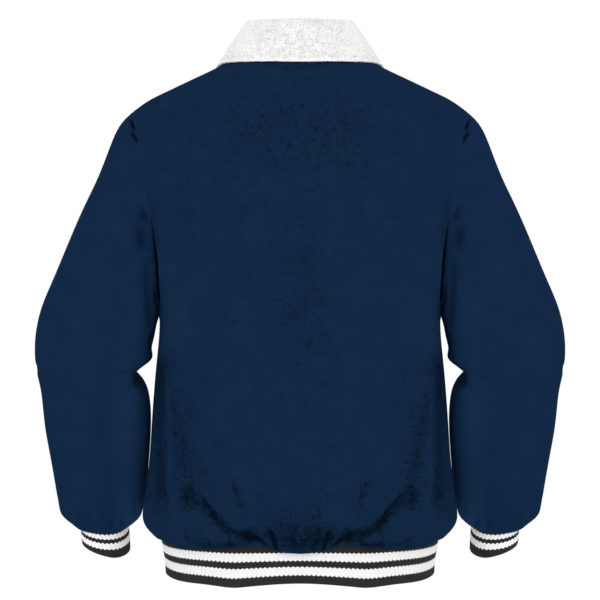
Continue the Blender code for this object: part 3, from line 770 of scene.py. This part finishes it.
def grain_effect():
    """Smooth leather's fine grain: small flat cells with creases between them."""
    tree, come, go = effect(
        "leather grain", {"Place": None, "Cell": 0.0011, "Patch": 0.02}, ("Light", "Height")
    )
    shape = {"Vector": come["Place"], "Scale": maths(tree, "DIVIDE", 1.0, come["Cell"])}
    cells = node(tree, "TexVoronoi", shape, feature="DISTANCE_TO_EDGE").outputs["Distance"]
    fine = speckle(tree, come["Place"], maths(tree, "MULTIPLY", come["Cell"], 0.4))
    cloud = speckle(tree, come["Place"], come["Patch"], 3.0, 0.55)
    light = ramp(tree, weighed(tree, (cloud, 0.75), (fine, 0.25)), 0.35, 0.68)
    flat_top = ramp(tree, cells, 0, 0.22)
    send(tree, go, Light=light, Height=weighed(tree, (flat_top, 1), (fine, 0.5)))
    return tree


def smooth_leather():
    material, tree, shader, place = new_material(
        "navy leather", IOR=1.15, Specular_IOR_Level=0.012
    )
    grain = use(tree, grain_effect(), Place=place, Cell=0.0010, Patch=0.024)
    # wear and painted highlight along the edges, added to the grain's own tone
    wear_and_highlight = use(tree, EDGE_WEAR_AND_HIGHLIGHT, Place=place, Edge=mask(tree, "edge"), Amount=1.0)
    light = maths(tree, "ADD", grain["Light"], wear_and_highlight["Rubbed"])
    navy = blend(tree, light, LEATHER_NAVY, LEATHER_NAVY_LIT)
    # painted light on the inner side of the sleeve, which the body shades
    navy = blend(tree, mask(tree, "painted_light"), navy, LEATHER_NAVY_PAINTED_LIGHT)
    # painted shade in the troughs of the folds and along the pulled armhole seam
    navy = blend(tree, mask(tree, "hollow"), navy, LEATHER_NAVY_PAINTED_SHADE)
    roughness = ramp(tree, grain["Light"], 0, 1, 0.82, 0.74)
    send(tree, shader.inputs, Base_Color=navy, Roughness=roughness)
    raise_surface(tree, shader, grain["Height"], 0.00008)
    return material


sleeve_right = outer_skin("sleeve_right", "leather_sleeve_right", LEATHER_WALL, (1, 0, 0))
smooth_through(sleeve_right, SLEEVE_LEVELS)
for low, high, cuts in FINE_FOLDS:
    finer(sleeve_right, low, high, cuts)
sleeve_folds = SLEEVE_FOLDS + cuff_gathers("back", 0.215, 0.300, 5)
sleeve_folds += cuff_gathers("front", 0.215, 0.300, 6) + cuff_gathers("right", 0.050, 0.100, 4)
mark_painted_light(sleeve_right, -1, SLEEVE_PAINTED_LIGHT_NARROW, SLEEVE_PAINTED_LIGHT)
press([sleeve_right], sleeve_folds)
draw_up(sleeve_right)
sleeve_left = other_hand(sleeve_right, "leather_sleeve_left")
for sleeve, node_name in ((sleeve_left, "sleeve_left"), (sleeve_right, "sleeve_right")):
    stand_in(sleeve, node_name)


# ---- Seams of the body and armholes ------------------------------------------------------
# The panels and sleeves are sewn edge to edge with the allowances inside, so each seam is a fine
# line in a shallow groove.

SEAM_GAP = 0.00005
SEAM_REACH = 0.0045  # two edges this near each other are sewn together
SEAM_EASE = 0.016  # the cloth beside a seam follows it, less and less, this far
SEAM_SINK = 0.0006
SEAM_SINK_WIDTH = 0.0045
PULLED_TOP = -0.200  # under the arms, from here down, the armhole seam is pulled in deeper and gets painted shade
PULLED_EASE = 0.055
PULLED_FOOT = -0.360
ARMHOLE_INNER = 0.150
PULL = 2.5
PULL_SHADE_WIDTH = 0.0020
EDGE_ROLL = 0.0005  # radius of a sewn or cut edge
EDGE_WEAR_AND_HIGHLIGHT_WIDTH = 0.0035


def tree_of(points):
    tree = KDTree(len(points))
    for k, point in enumerate(points):
        tree.insert(point, k)
    tree.balance()
    return tree


def sew(skins):
    """Brings the edges that are sewn together on to one line, sinks that line a little, and paints
    shade along it under the arms.
    """
    rims = [rim_of(skin) for skin in skins]
    trees = [tree_of(places(skin)[rim]) for skin, rim in zip(skins, rims)]
    shifts = []
    for skin, rim in zip(skins, rims):
        points, shift = places(skin), {}
        for v in rim:
            here = Vector(points[v])
            found = [tree.find(here) for tree, other in zip(trees, skins) if other != skin]
            met = [place for place, _, distance in found if distance < SEAM_REACH]
            if met:
                middle = sum(met, here) / (len(met) + 1)
                apart = here - middle
                apart *= min(1, SEAM_GAP / 2 / max(apart.length, 1e-9))
                shift[v] = np.array(middle + apart - here)
        shifts.append(shift)
    for skin, shift in zip(skins, shifts):
        points, away = places(skin), outs(skin)
        sewn = list(shift)
        tree = tree_of(points[sewn])
        moved = points.copy()
        hollow = np.zeros(len(points))
        skin.data.attributes["hollow"].data.foreach_get("value", hollow)
        for v, point in enumerate(points):
            _, k, distance = tree.find(point)
            if distance < SEAM_EASE:
                sink = SEAM_SINK * math.exp(-((distance / SEAM_SINK_WIDTH) ** 2))
                follow = (1 - distance / SEAM_EASE) ** 2
                pulled = min(1, max(0, (PULLED_TOP - point[2]) / PULLED_EASE))
                pulled *= abs(point[0]) > ARMHOLE_INNER and point[2] > PULLED_FOOT
                moved[v] += follow * shift[sewn[k]] - sink * (1 + PULL * pulled) * away[v]
                # painted shade along the pulled seam
                hollow[v] += pulled * math.exp(-((distance / PULL_SHADE_WIDTH) ** 2))
        put(skin, moved)
        skin.data.attributes["hollow"].data.foreach_set("value", hollow.clip(0, 1))


def gaps_to(skin, some):
    """How far each of a skin's points is from the nearest of some of them."""
    points = places(skin)
    tree = tree_of(points[some])
    return np.array([tree.find(point)[2] for point in points])


def mark_edges(skin):
    """Writes how near each point is to the skin's edges, 1 on them, for the wear and painted
    highlight along them.
    """
    write(skin, "edge", np.exp(-((gaps_to(skin, rim_of(skin)) / EDGE_WEAR_AND_HIGHLIGHT_WIDTH) ** 2)))


def give_wall(skin, thickness, roll, material):
    """Gives a skin its material and its thickness, inwards, and rolls its edges."""
    only(skin)
    skin.data.materials.append(material)
    solid = skin.modifiers.new("thickness", "SOLIDIFY")
    solid.thickness = thickness
    solid.offset = -1
    rolled = skin.modifiers.new("roll", "BEVEL")
    rolled.width = roll
    rolled.segments = 2
    rolled.limit_method = "ANGLE"
    rolled.angle_limit = math.radians(58)
    bpy.ops.object.modifier_apply(modifier="thickness")
    bpy.ops.object.modifier_apply(modifier="roll")
    bpy.ops.object.shade_smooth()


sleeves = [sleeve_left, sleeve_right]
sew(body + sleeves)
for skins, wall, finish in (
    (body, WOOL_WALL, melton()), (sleeves, LEATHER_WALL, smooth_leather())
):
    for skin in skins:
        mark_edges(skin)
        give_wall(skin, wall, EDGE_ROLL, finish)


# ---- Waistband ---------------------------------------------------------------------------
# One strip of charcoal rib knit with two white stripes, sewn inside the blouse of the body and
# lapped at the front. Its ribs stand up as rounded cords with narrow gutters between them.

KNIT_CHARCOAL = (0.0190, 0.0190, 0.0195, 1)
KNIT_CHARCOAL_LIT = (0.0290, 0.0290, 0.0295, 1)
KNIT_WHITE = (0.900, 0.900, 0.898, 1)
KNIT_WHITE_SHADE = (0.820, 0.820, 0.820, 1)
KNIT_WALL_CAD = 0.0030
KNIT_WALL = 0.0017
KNIT_ROLL = 0.0006
COLUMNS_PER_RIB = 8
RIB_RELIEF = 0.00045
RIB_ROUNDING = 0.8  # below 1 the ribs are full and their gutters narrow
COURSE = 0.00266  # height of one row of stitches
BAND_STRIPES = (0.0104, 0.0215, 0.0298, 0.0404)  # where each colour ends, up from the lower edge
BAND_LEVELS = 2
BAND_CUTS = 8
BAND_START = (0.012, 0.1165, -0.666)  # the lower corner of its end at the front
SQUARE = 0.6  # an edge is square to the ribs if less than this share of it runs along them


def rows_of(skin, start, onward):
    """The numbers of a skin's points by row and column. The first row is the open edge nearest
    start and runs onward. A tube's rows close on themselves."""
    mesh = bmesh.new()
    mesh.from_mesh(skin.data)
    start, onward = Vector(start), Vector(onward)
    first = min((v for v in mesh.verts if v.is_boundary), key=lambda v: (v.co - start).length)
    open_edges = [edge for edge in first.link_edges if edge.is_boundary]
    edge = max(open_edges, key=lambda e: (e.other_vert(first).co - first.co).normalized() @ onward)
    row = [first]
    while edge.other_vert(row[-1]) is not first:
        row.append(edge.other_vert(row[-1]))
        if len(row[-1].link_edges) == 2:
            break
        edge = next(e for e in row[-1].link_edges if e.is_boundary and e is not edge)
    closed = len(first.link_edges) == 3
    rows, used = [row], set()
    while True:
        above = {}
        for a, b in zip(row, row[1:] + row[:1] if closed else row[1:]):
            face = next((f for f in a.link_faces if b in f.verts and f not in used), None)
            if face is None:
                break
            used.add(face)
            for v, other in ((a, b), (b, a)):
                side = next(e for e in v.link_edges if e in face.edges and other not in e.verts)
                above[v] = side.other_vert(v)
        if not above:
            break
        row = [above[v] for v in row]
        rows.append(row)
    numbers = np.array([[v.index for v in row] for row in rows])
    mesh.free()
    return numbers, closed


def cut_columns(skin, cuts, along):
    """Divides each cell of a skin into that many columns, by cutting the edges square to along."""
    only(skin)
    points = places(skin)
    for edge in skin.data.edges:
        a, b = edge.vertices
        run = points[b] - points[a]
        edge.select = bool(abs(run @ along) < SQUARE * np.linalg.norm(run))
    bpy.context.scene.tool_settings.mesh_select_mode = (False, True, False)
    with editing():
        bpy.ops.mesh.subdivide(number_cuts=cuts - 1)
    bpy.context.scene.tool_settings.mesh_select_mode = (True, False, False)


def lengths_along(line):
    """How far along a line each of its points is."""
    return np.concatenate([[0], np.cumsum(np.linalg.norm(np.diff(line, axis=0), axis=1))])


def spots(at, lengths, line):
    """The places on a line, or what goes with its points, at some lengths along it."""
    return np.stack([np.interp(at, lengths, line[:, k]) for k in range(3)], axis=-1)


def knit_ribs(skin, start, onward):
    """Spaces a knitted skin's columns evenly, raises its ribs and maps it: the map counts ribs
    across and metres up from the open edge."""
    numbers, closed = rows_of(skin, start, onward)
    count = numbers.shape[1]
    points = places(skin)
    for row in numbers:
        ends = points[[*row, row[0]]] if closed else points[row]
        along = lengths_along(ends)
        points[row] = spots(np.linspace(0, along[-1], count + closed)[:count], along, ends)
    put(skin, points)
    columns, heights = np.zeros((2, len(points)))
    up = np.linalg.norm(np.diff(points[numbers], axis=0), axis=2).mean(axis=1)
    columns[numbers] = np.arange(count)
    heights[numbers] = np.concatenate([[0], np.cumsum(up)])[:, None]
    gutter = 1 - abs(np.cos(math.pi * columns / COLUMNS_PER_RIB)) ** RIB_ROUNDING
    put(skin, points - RIB_RELIEF * gutter[:, None] * outs(skin))
    chart = skin.data.uv_layers.new(name="knit")
    for face in skin.data.polygons:
        across = [columns[v] for v in face.vertices]
        round_the_end = max(across) - min(across) > count / 2
        for corner, v in zip(face.loop_indices, face.vertices):
            place = columns[v] + (count if round_the_end and columns[v] < count / 2 else 0)
            chart.data[corner].uv = (place / COLUMNS_PER_RIB, heights[v])


def knit_effect():
    """Rib knit, from a map of ribs across and metres up: rows of V stitches, two stripes, the
    gutters between ribs."""
    stripes = {f"Stripe {k}": 0 for k in (1, 2, 3, 4)}
    tree, come, go = effect(
        "rib knit", {"Map": None, "Course": COURSE, **stripes}, ("White", "Height", "Gutter")
    )
    across, up, _ = node(tree, "SeparateXYZ", {0: come["Map"]}).outputs
    doubled = maths(tree, "MULTIPLY", maths(tree, "FRACT", across), 2.0)
    crest = maths(tree, "ABSOLUTE", maths(tree, "SUBTRACT", doubled, 1.0))
    aside = maths(tree, "SUBTRACT", 1.0, crest)  # 0 on a rib's crest, 1 in the gutter
    stretched = node(tree, "Mapping", {"Vector": come["Map"], "Scale": (1, 180, 1)}).outputs[0]
    stray = node(tree, "TexNoise", {"Vector": stretched, "Scale": 2.4, "Detail": 3.0}).outputs[0]
    lean = maths(tree, "MULTIPLY", aside, maths(tree, "MULTIPLY", come["Course"], 0.62))
    wander = maths(tree, "MULTIPLY", maths(tree, "SUBTRACT", stray, 0.5), 0.0010)
    height = weighed(tree, (up, 1), (lean, -1), (wander, 1))
    above = [maths(tree, "GREATER_THAN", height, come[stripe]) for stripe in stripes]
    white = weighed(tree, *zip(above, (1, -1, 1, -1)))
    turn = maths(tree, "MULTIPLY", maths(tree, "DIVIDE", height, come["Course"]), math.tau)
    gutter = maths(tree, "POWER", aside, 3.0)
    raised = weighed(tree, (maths(tree, "COSINE", turn), 1), (gutter, -1.5), (stray, 1))
    send(tree, go, White=white, Height=raised, Gutter=gutter)
    return tree


KNIT = knit_effect()


def rib_knit(name, stripes, white, white_shade):
    material, tree, shader, place = new_material(
        name, Roughness=0.95, Specular_IOR_Level=0.08, Sheen_Weight=0.03, Sheen_Roughness=0.5
    )
    chart = node(tree, "UVMap", uv_map="knit").outputs[0]
    ends = {f"Stripe {k}": end for k, end in enumerate(stripes, 1)}
    knit = use(tree, KNIT, Map=chart, Course=COURSE, **ends)
    nap = use(tree, NAP, Place=place, Hair=0.0008, Patch=0.0030)
    dark = blend(tree, nap["Light"], KNIT_CHARCOAL, KNIT_CHARCOAL_LIT)
    # painted shade in the gutters between the ribs of the white stripes
    striped = blend(tree, maths(tree, "MULTIPLY", knit["Gutter"], 0.20), white, white_shade)
    send(tree, shader.inputs, Base_Color=blend(tree, knit["White"], dark, striped))
    raise_surface(tree, shader, knit["Height"], 0.00016)
    return material


waistband = outer_skin("waistband", "rib_waistband", KNIT_WALL_CAD, (0, -1, 0))
smooth_through(waistband, BAND_LEVELS)
cut_columns(waistband, BAND_CUTS, np.array((0, 0, 1)))
knit_ribs(waistband, BAND_START, (-1, 0, 0))
band_knit = rib_knit("waistband knit", BAND_STRIPES, KNIT_WHITE, KNIT_WHITE_SHADE)
give_wall(waistband, KNIT_WALL, KNIT_ROLL, band_knit)
stand_in(waistband, "waistband")


# ---- Cuffs -------------------------------------------------------------------------------
# Tubes of the same rib knit with narrower stripes, each as wide as a wrist. They are pushed up
# into the gathered ends of the sleeves and sewn there.

CUFF_STRIPES = (0.0102, 0.0186, 0.0244, 0.0309)
CUFF_WHITE = (0.990, 0.990, 0.988, 1)
CUFF_WHITE_SHADE = (0.930, 0.930, 0.930, 1)
CUFF_TILT = math.radians(20)
CUFF_AXIS = np.array((0, -math.sin(CUFF_TILT), math.cos(CUFF_TILT)))
CUFF_END = (0.2900, 0.0880, -0.6360)
CUFF_CUTS = 4
CUFF_REACH = 0.0070  # it goes this much farther up into the sleeve than its wall in the frame
CUFF_HELD_FROM = 0.0150  # above this height its cloth is drawn up
CUFF_END_LIFT = 0.0040
CUFF_MIDDLE = 0.2450
CUFF_HALF = 0.0350
CUFF_INNER_RISE = 0.0110  # its inner side is pushed up so much more
CUFF_INNER_END = 0.60  # and its end there by this share of it


def draw_up_end(skin):
    """Raises a right-hand cuff's end on its outer side, more and more towards its edge."""
    points = places(skin)
    height = ((points - CUFF_END) @ CUFF_AXIS).clip(0, CUFF_STRIPES[0])
    outer = ((points[:, 0] - CUFF_MIDDLE) / CUFF_HALF).clip(0, 1)
    points[:, 2] += CUFF_END_LIFT * outer * (1 - height / CUFF_STRIPES[0])
    put(skin, points)


def reach_up(skin):
    """Draws a cuff's sewn end farther up into the gathered sleeve, and its inner side with it."""
    points = places(skin)
    height = (points - CUFF_END) @ CUFF_AXIS
    share = ((height - CUFF_HELD_FROM) / (height.max() - CUFF_HELD_FROM)).clip(0, 1)
    inner = ((CUFF_MIDDLE - points[:, 0]) / CUFF_HALF).clip(0, 1)
    above_end = (height / CUFF_STRIPES[0]).clip(0, 1)
    pushed = CUFF_INNER_RISE * inner**2 * (CUFF_INNER_END + (1 - CUFF_INNER_END) * above_end)
    put(skin, points + (CUFF_REACH * share**2 + pushed)[:, None] * CUFF_AXIS)


cuff_right = outer_skin("cuff_right", "rib_cuff_right", KNIT_WALL_CAD, (1, 0, 0))
smooth_through(cuff_right, BAND_LEVELS)
reach_up(cuff_right)
draw_up_end(cuff_right)
cut_columns(cuff_right, CUFF_CUTS, CUFF_AXIS)
knit_ribs(cuff_right, CUFF_END, (0, 1, 0))
cuff_left = other_hand(cuff_right, "rib_cuff_left")
cuff_knit = rib_knit("cuff knit", CUFF_STRIPES, CUFF_WHITE, CUFF_WHITE_SHADE)
for cuff, hand, sleeve in ((cuff_right, "right", sleeve_right), (cuff_left, "left", sleeve_left)):
    give_wall(cuff, KNIT_WALL, KNIT_ROLL, cuff_knit)
    stand_in(cuff, f"cuff_{hand}")


# ---- Collar ------------------------------------------------------------------------------
# A turn-down collar of white nappy wool: the stand rises from the neck seam, rolls over, and the
# fall lies on the shoulders. A line of stitching keeps its edge flat.

PILE_WALL_CAD = 0.0030
PILE_WALL = 0.0024
PILE_ROLL = 0.0010
PILE_WHITE = (0.990, 0.990, 0.988, 1)
PILE_SHADE = (0.640, 0.642, 0.645, 1)
PILE_LIGHT_FROM = 0.048  # the pile is greyer across the neck, and gets painted light from here outwards
PILE_LIGHT_EASE = 0.030
PILE_LIGHT_EDGE = 0.0050  # and this near its edges
COLLAR_LEVELS = 3
COLLAR_START = (0.0541, 0.1129, -0.1131)  # the right-hand point of its fall
EDGE_STITCH_IN = 0.0050  # from the fall's edge to its line of stitching
EDGE_STITCH_DEPTH = 0.0007
EDGE_STITCH_HALF = 0.0022
FALL_ROWS = 34  # rows of the mesh from the fall's edge up to the roll
EDGE_SHIFTS = (  # how far the fall's edge rises at each distance from centre back
    (0, 0.0040), (0.035, 0.0038), (0.055, 0.0016), (0.072, -0.0020), (0.085, -0.0034), (0.102, 0)
)
SETTLED_GAP = 0.0026  # the collar's thickness and a hair more
SETTLE_ROWS = 26
SETTLE_FADE = 1.3  # how soon the rows above the edge follow it less
SETTLE_SMOOTHING = 6
THREAD = 0.00055
THREAD_RISE = 0.3  # its middle is this share of its thickness above the cloth
STITCH = 0.0029
STITCH_PITCH = 0.0036
STITCHED_ROW = 3  # the row and the column of the mesh that lie in the stitched groove
STITCHED_COLUMN = 2
THREAD_WHITE = (0.78, 0.78, 0.77, 1)
THREAD_WHITE_LIT = (0.92, 0.92, 0.91, 1)


def curls_effect():
    """Nappy wool: small tight curls with painted shade in the crevices between them."""
    tree, come, go = effect("nappy curls", {"Place": None, "Curl": 0.003}, ("Light", "Height"))
    place, curl = come["Place"], come["Curl"]
    waves = {"Vector": place, "Scale": maths(tree, "DIVIDE", 0.8, curl), "Detail": 2.0}
    bent = node(tree, "TexNoise", waves).outputs["Color"]
    warp = node(tree, "VectorMath", {0: bent, 3: 0.0022}, operation="SCALE").outputs[0]
    moved = node(tree, "VectorMath", {0: place, 1: warp}, operation="ADD").outputs[0]
    shape = {"Vector": moved, "Scale": maths(tree, "DIVIDE", 1.0, curl)}
    cells = node(tree, "TexVoronoi", shape, feature="SMOOTH_F1").outputs["Distance"]
    fuzz = speckle(tree, place, maths(tree, "MULTIPLY", curl, 0.3), 4.0, 0.75)
    height = weighed(tree, (maths(tree, "SUBTRACT", 1.0, cells), 1), (fuzz, 0.5))
    # darker where the curls dip: painted shade in the crevices
    send(tree, go, Light=ramp(tree, height, 0.55, 1.0), Height=height)
    return tree


def nappy_wool():
    material, tree, shader, place = new_material(
        "white nappy wool", Roughness=0.97, Specular_IOR_Level=0.15, Sheen_Weight=0.9,
        Sheen_Roughness=0.5,
    )
    curls = use(tree, curls_effect(), Place=place, Curl=0.0017)
    cloud = maths(tree, "SUBTRACT", speckle(tree, place, 0.010, 2.0), 0.5)
    # painted light on the pile's sides and edges, which turn away from the light
    light = weighed(tree, (curls["Light"], 1), (cloud, 1.2), (mask(tree, "pile_painted_light"), 0.38))
    send(tree, shader.inputs, Base_Color=blend(tree, light, PILE_SHADE, PILE_WHITE))
    raise_surface(tree, shader, curls["Height"], 0.0009)
    return material


def groove_along_edge(skin, edge, inset, depth, half):
    """Presses a shallow line into a skin, that far in from one of its edges."""
    sunk = depth * np.exp(-(((gaps_to(skin, edge) - inset) / half) ** 2))
    put(skin, places(skin) - sunk[:, None] * outs(skin))


def settle(skin, numbers, cloth):
    """Evens the fall's edge, lets it down on to the cloth, and the rest of the fall after it."""
    surface = surface_of(cloth)
    points = places(skin)
    edge = points[numbers[0]]
    evened = np.interp(abs(edge[:, 0]), *zip(*EDGE_SHIFTS)) * (edge[:, 1] < 0)
    for k, row in enumerate(numbers[:SETTLE_ROWS]):
        points[row, 2] += evened * (1 - k / SETTLE_ROWS)
    shifts = []
    for point in points[numbers[0]]:
        below, _, _, gap = surface.find_nearest(Vector(point))
        shifts.append(np.array(below - Vector(point)) * max(0, 1 - SETTLED_GAP / gap))
    shifts = np.array(shifts)
    for _ in range(SETTLE_SMOOTHING):
        shifts[1:-1] = (shifts[:-2] + 2 * shifts[1:-1] + shifts[2:]) / 4
    for k, row in enumerate(numbers[:SETTLE_ROWS]):
        points[row] += shifts * (1 - k / SETTLE_ROWS) ** SETTLE_FADE
    put(skin, points)


def mark_pile_painted_light(skin, edge):
    """Writes painted light on the pile at each point: along the edge and away from centre back,
    where the collar turns away from the light.
    """
    aside = eased((abs(places(skin)[:, 0]) - PILE_LIGHT_FROM) / PILE_LIGHT_EASE)
    near = np.exp(-((gaps_to(skin, edge) / PILE_LIGHT_EDGE) ** 2))
    write(skin, "pile_painted_light", np.maximum(aside, near))


def sewing_thread(name, colour, colour_lit):
    material, tree, shader, place = new_material(name, Roughness=0.8, Specular_IOR_Level=0.10)
    twist = speckle(tree, place, 0.0005, 2.0)
    send(tree, shader.inputs, Base_Color=blend(tree, twist, colour, colour_lit))
    raise_surface(tree, shader, twist, 0.0001)
    return material


def one_stitch():
    """A short length of thread that dips into the cloth at both ends."""
    bpy.ops.object.select_all(action="DESELECT")
    bpy.ops.mesh.primitive_cylinder_add(
        vertices=6, radius=THREAD / 2, depth=STITCH * 0.6, rotation=(0, math.pi / 2, 0)
    )
    stitch = bpy.context.object
    bpy.ops.object.transform_apply(rotation=True)
    for side in (-1, 1):
        with editing("DESELECT"):
            pass
        max(stitch.data.polygons, key=lambda face: face.normal.x * side).select = True
        with editing():
            dip = {"value": (side * STITCH * 0.2, 0, -THREAD * 0.5)}
            bpy.ops.mesh.extrude_region_move(TRANSFORM_OT_translate=dip)
            bpy.ops.transform.resize(value=(1, 0.5, 0.5))
    bpy.ops.object.shade_smooth()
    return stitch


def stitch_along(name, points, away, material):
    """A row of stitches, as one piece, along a line of points on the cloth. away: out of it."""
    along = lengths_along(points)
    first = one_stitch()
    first.data.materials.append(material)
    stitches = []
    for middle in np.arange(STITCH_PITCH / 2, along[-1], STITCH_PITCH):
        steps = (-STITCH / 2, 0, STITCH / 2)
        behind, here, ahead = [Vector(spots(middle + step, along, points)) for step in steps]
        out = Vector(spots(middle, along, away)).normalized()
        onward = (ahead - behind).normalized()
        aside = out.cross(onward).normalized()
        turn = Matrix((onward, aside, onward.cross(aside))).transposed().to_4x4()
        turn.translation = here + out * THREAD * THREAD_RISE
        stitches.append(copy_of(first, name))
        stitches[-1].data.transform(turn)
    bpy.data.objects.remove(first)
    only(stitches[0])
    for stitch in stitches:
        stitch.select_set(True)
    bpy.ops.object.join()
    return stitches[0]


collar = outer_skin("collar", "pile_collar", PILE_WALL_CAD, (0, -1, 0))
smooth_through(collar, COLLAR_LEVELS)
numbers, _ = rows_of(collar, COLLAR_START, (1, -1, 0))
fall_edge = [*numbers[0], *numbers[:FALL_ROWS, [0, -1]].ravel()]
settle(collar, numbers, body)
mark_pile_painted_light(collar, fall_edge)
groove_along_edge(collar, fall_edge, EDGE_STITCH_IN, EDGE_STITCH_DEPTH, EDGE_STITCH_HALF)
end_rows = slice(STITCHED_ROW, FALL_ROWS - STITCHED_ROW)
stitched = [
    *numbers[end_rows, STITCHED_COLUMN][::-1],
    *numbers[STITCHED_ROW, STITCHED_COLUMN + 1 : -STITCHED_COLUMN - 1],
    *numbers[end_rows, -1 - STITCHED_COLUMN],
]
white_thread = sewing_thread("white thread", THREAD_WHITE, THREAD_WHITE_LIT)
collar_stitches = stitch_along(
    "collar_edge_stitches", places(collar)[stitched], outs(collar)[stitched], white_thread
)
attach(collar_stitches, "root")
give_wall(collar, PILE_WALL, PILE_ROLL, nappy_wool())
stand_in(collar, "collar")


# ---- Closure -----------------------------------------------------------------------------
# The left front laps over the right one and is stitched down its edge. Steel snaps hold it, six
# down the front and one on the band: pressed caps, a little way into the cloth.

EDGE_STITCHES_IN = 0.0065
EDGE_STITCHES_TOP = -0.070
EDGE_STITCHES_FOOT = -0.610
LAP_POINTS = 180  # of their line on the cloth
THREAD_NAVY = (0.0080, 0.0300, 0.0800, 1)
THREAD_NAVY_LIT = (0.0130, 0.0460, 0.1150, 1)
SNAPS = 7
SNAP_RADIUS = 0.0075
SNAP_SUNK = 0.0006
SNAP_SIDES = 48
SNAP_STEPS = [  # how far each pressed ring lies inside the last one, and how much higher
    (0.00035, 0.00060), (0.00055, 0.00035), (0.00050, -0.00010), (0.00045, -0.00025),
    (0.00060, 0.00030), (0.00130, 0.00045), (0.00150, 0.00020), (0.00110, 0.00004),
]
SEAT_SLACK = 0.0001  # the corners this near a snap's lowest one are those that it sits on
STEEL = (0.62, 0.62, 0.63, 1)


def brushed_steel():
    material, tree, shader, place = new_material("snap steel", Metallic=1.0, Base_Color=STEEL)
    scuffs = speckle(tree, place, 0.0016, 5.0, 0.7)
    send(tree, shader.inputs, Roughness=ramp(tree, scuffs, 0, 1, 0.20, 0.42))
    raise_surface(tree, shader, scuffs, 0.00003)
    return material


lap = surface_of([front_left])
lap_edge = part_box("front_left")[1][0]
lap_line = []
for height in np.linspace(EDGE_STITCHES_TOP, EDGE_STITCHES_FOOT, LAP_POINTS):
    seen_from = Vector((lap_edge - EDGE_STITCHES_IN, 1, height))
    lap_line.append(lap.ray_cast(seen_from, Vector((0, -1, 0)))[:2])
navy_thread = sewing_thread("navy thread", THREAD_NAVY, THREAD_NAVY_LIT)
front_stitches = stitch_along(
    "front_edge_stitches", *np.array(lap_line).swapaxes(0, 1), navy_thread
)
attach(front_stitches, "root")

bpy.ops.object.select_all(action="DESELECT")
bpy.ops.mesh.primitive_cylinder_add(
    vertices=SNAP_SIDES, radius=SNAP_RADIUS, depth=SNAP_SUNK, location=(0, 0, -SNAP_SUNK / 2)
)
first_snap = bpy.context.object
bpy.ops.object.transform_apply(location=True)
with editing("DESELECT"):
    pass
max(first_snap.data.polygons, key=lambda face: face.center.z).select = True
with editing():
    for inset, rise in SNAP_STEPS:
        bpy.ops.mesh.inset(thickness=inset, depth=rise)
    bpy.ops.mesh.poke()
bpy.ops.object.shade_smooth_by_angle(angle=math.radians(60))
first_snap.data.materials.append(brushed_steel())
for number in range(1, SNAPS + 1):
    node_name = f"snap_{number}"
    mesh = frame["nodes"][node_name].data
    way_out = max(mesh.polygons, key=lambda face: face.center.y).normal.copy()
    corners = [vertex.co.copy() for vertex in mesh.vertices]
    lowest = min(corner @ way_out for corner in corners)
    seat = [corner for corner in corners if corner @ way_out < lowest + SEAT_SLACK]
    turn = way_out.to_track_quat("Z", "Y").to_matrix().to_4x4()
    turn.translation = sum(seat, Vector()) / len(seat)
    snap = copy_of(first_snap, f"snap_cap_{number}")
    snap.data.transform(turn)
    stand_in(snap, node_name)
bpy.data.objects.remove(first_snap)


# ---- Studio ------------------------------------------------------------------------------
# A pale floor as far below the neck as a wearer's feet, a white surround, and large soft lights
# on all sides, the brightest behind the camera.

FLOOR_Z = -1.42
FLOOR_SIZE = 11.6
FLOOR_FADES_FROM = 2.6  # from the middle outwards it fades away into the white surround
FLOOR_FADES_TO = 5.6
FLOOR_COLOUR = (0.88, 0.88, 0.88, 1)
SURROUND = 1.0  # how bright it is in view
FILL = 0.66  # and how much of that lights the jacket
CAMERA_PLACE = (0, -3.300, -0.308)
LENS = 152.9

bpy.ops.mesh.primitive_plane_add(size=FLOOR_SIZE, location=(0, 0, FLOOR_Z))
floor = bpy.context.object
bpy.ops.object.transform_apply(location=True)
floor.name = "floor"
floor_finish, tree, shader, place = new_material(
    "pale floor", Roughness=0.8, Base_Color=FLOOR_COLOUR
)
flat_place = node(tree, "Mapping", {"Vector": place, "Scale": (1, 1, 0)}).outputs[0]
from_middle = node(tree, "VectorMath", {0: flat_place}, operation="LENGTH").outputs["Value"]
shown = ramp(tree, from_middle, FLOOR_FADES_FROM, FLOOR_FADES_TO, 1.0, 0.0)
send(tree, shader.inputs, Alpha=shown)
floor.data.materials.append(floor_finish)

Lamp = namedtuple("Lamp", "place size power")
LAMPS = [
    Lamp((-1.5, -3.7, 0.45), 3.0, 34), Lamp((1.5, -3.7, 0.45), 3.0, 34),
    Lamp((-3.4, -0.9, 0.5), 2.4, 12), Lamp((3.4, -0.9, 0.5), 2.4, 12),
    Lamp((-2.6, 3.2, 1.2), 3.0, 28), Lamp((2.6, 3.2, 1.2), 3.0, 28),
    Lamp((0, -0.2, 3.0), 3.0, 12),
]
AIM = Vector((0, 0, -0.3))
for lamp in LAMPS:
    toward = (AIM - Vector(lamp.place)).to_track_quat("-Z", "Y").to_euler()
    bpy.ops.object.light_add(type="AREA", location=lamp.place, rotation=toward)
    bpy.context.object.data.size = lamp.size
    bpy.context.object.data.energy = lamp.power

world = bpy.data.worlds.new("white surround")
bpy.context.scene.world = world
world.use_nodes = True
tree = world.node_tree
surround = tree.nodes["Background"].inputs
surround["Color"].default_value = (1, 1, 1, 1)
in_view = node(tree, "LightPath").outputs["Is Camera Ray"]
added = maths(tree, "MULTIPLY", in_view, SURROUND - FILL)
send(tree, surround, Strength=maths(tree, "ADD", added, FILL))
bpy.context.scene.view_settings.view_transform = "Standard"

bpy.ops.object.camera_add(location=CAMERA_PLACE, rotation=(math.pi / 2, 0, 0))
camera = bpy.context.object
camera.data.sensor_width = 36
camera.data.lens = LENS
bpy.context.scene.camera = camera
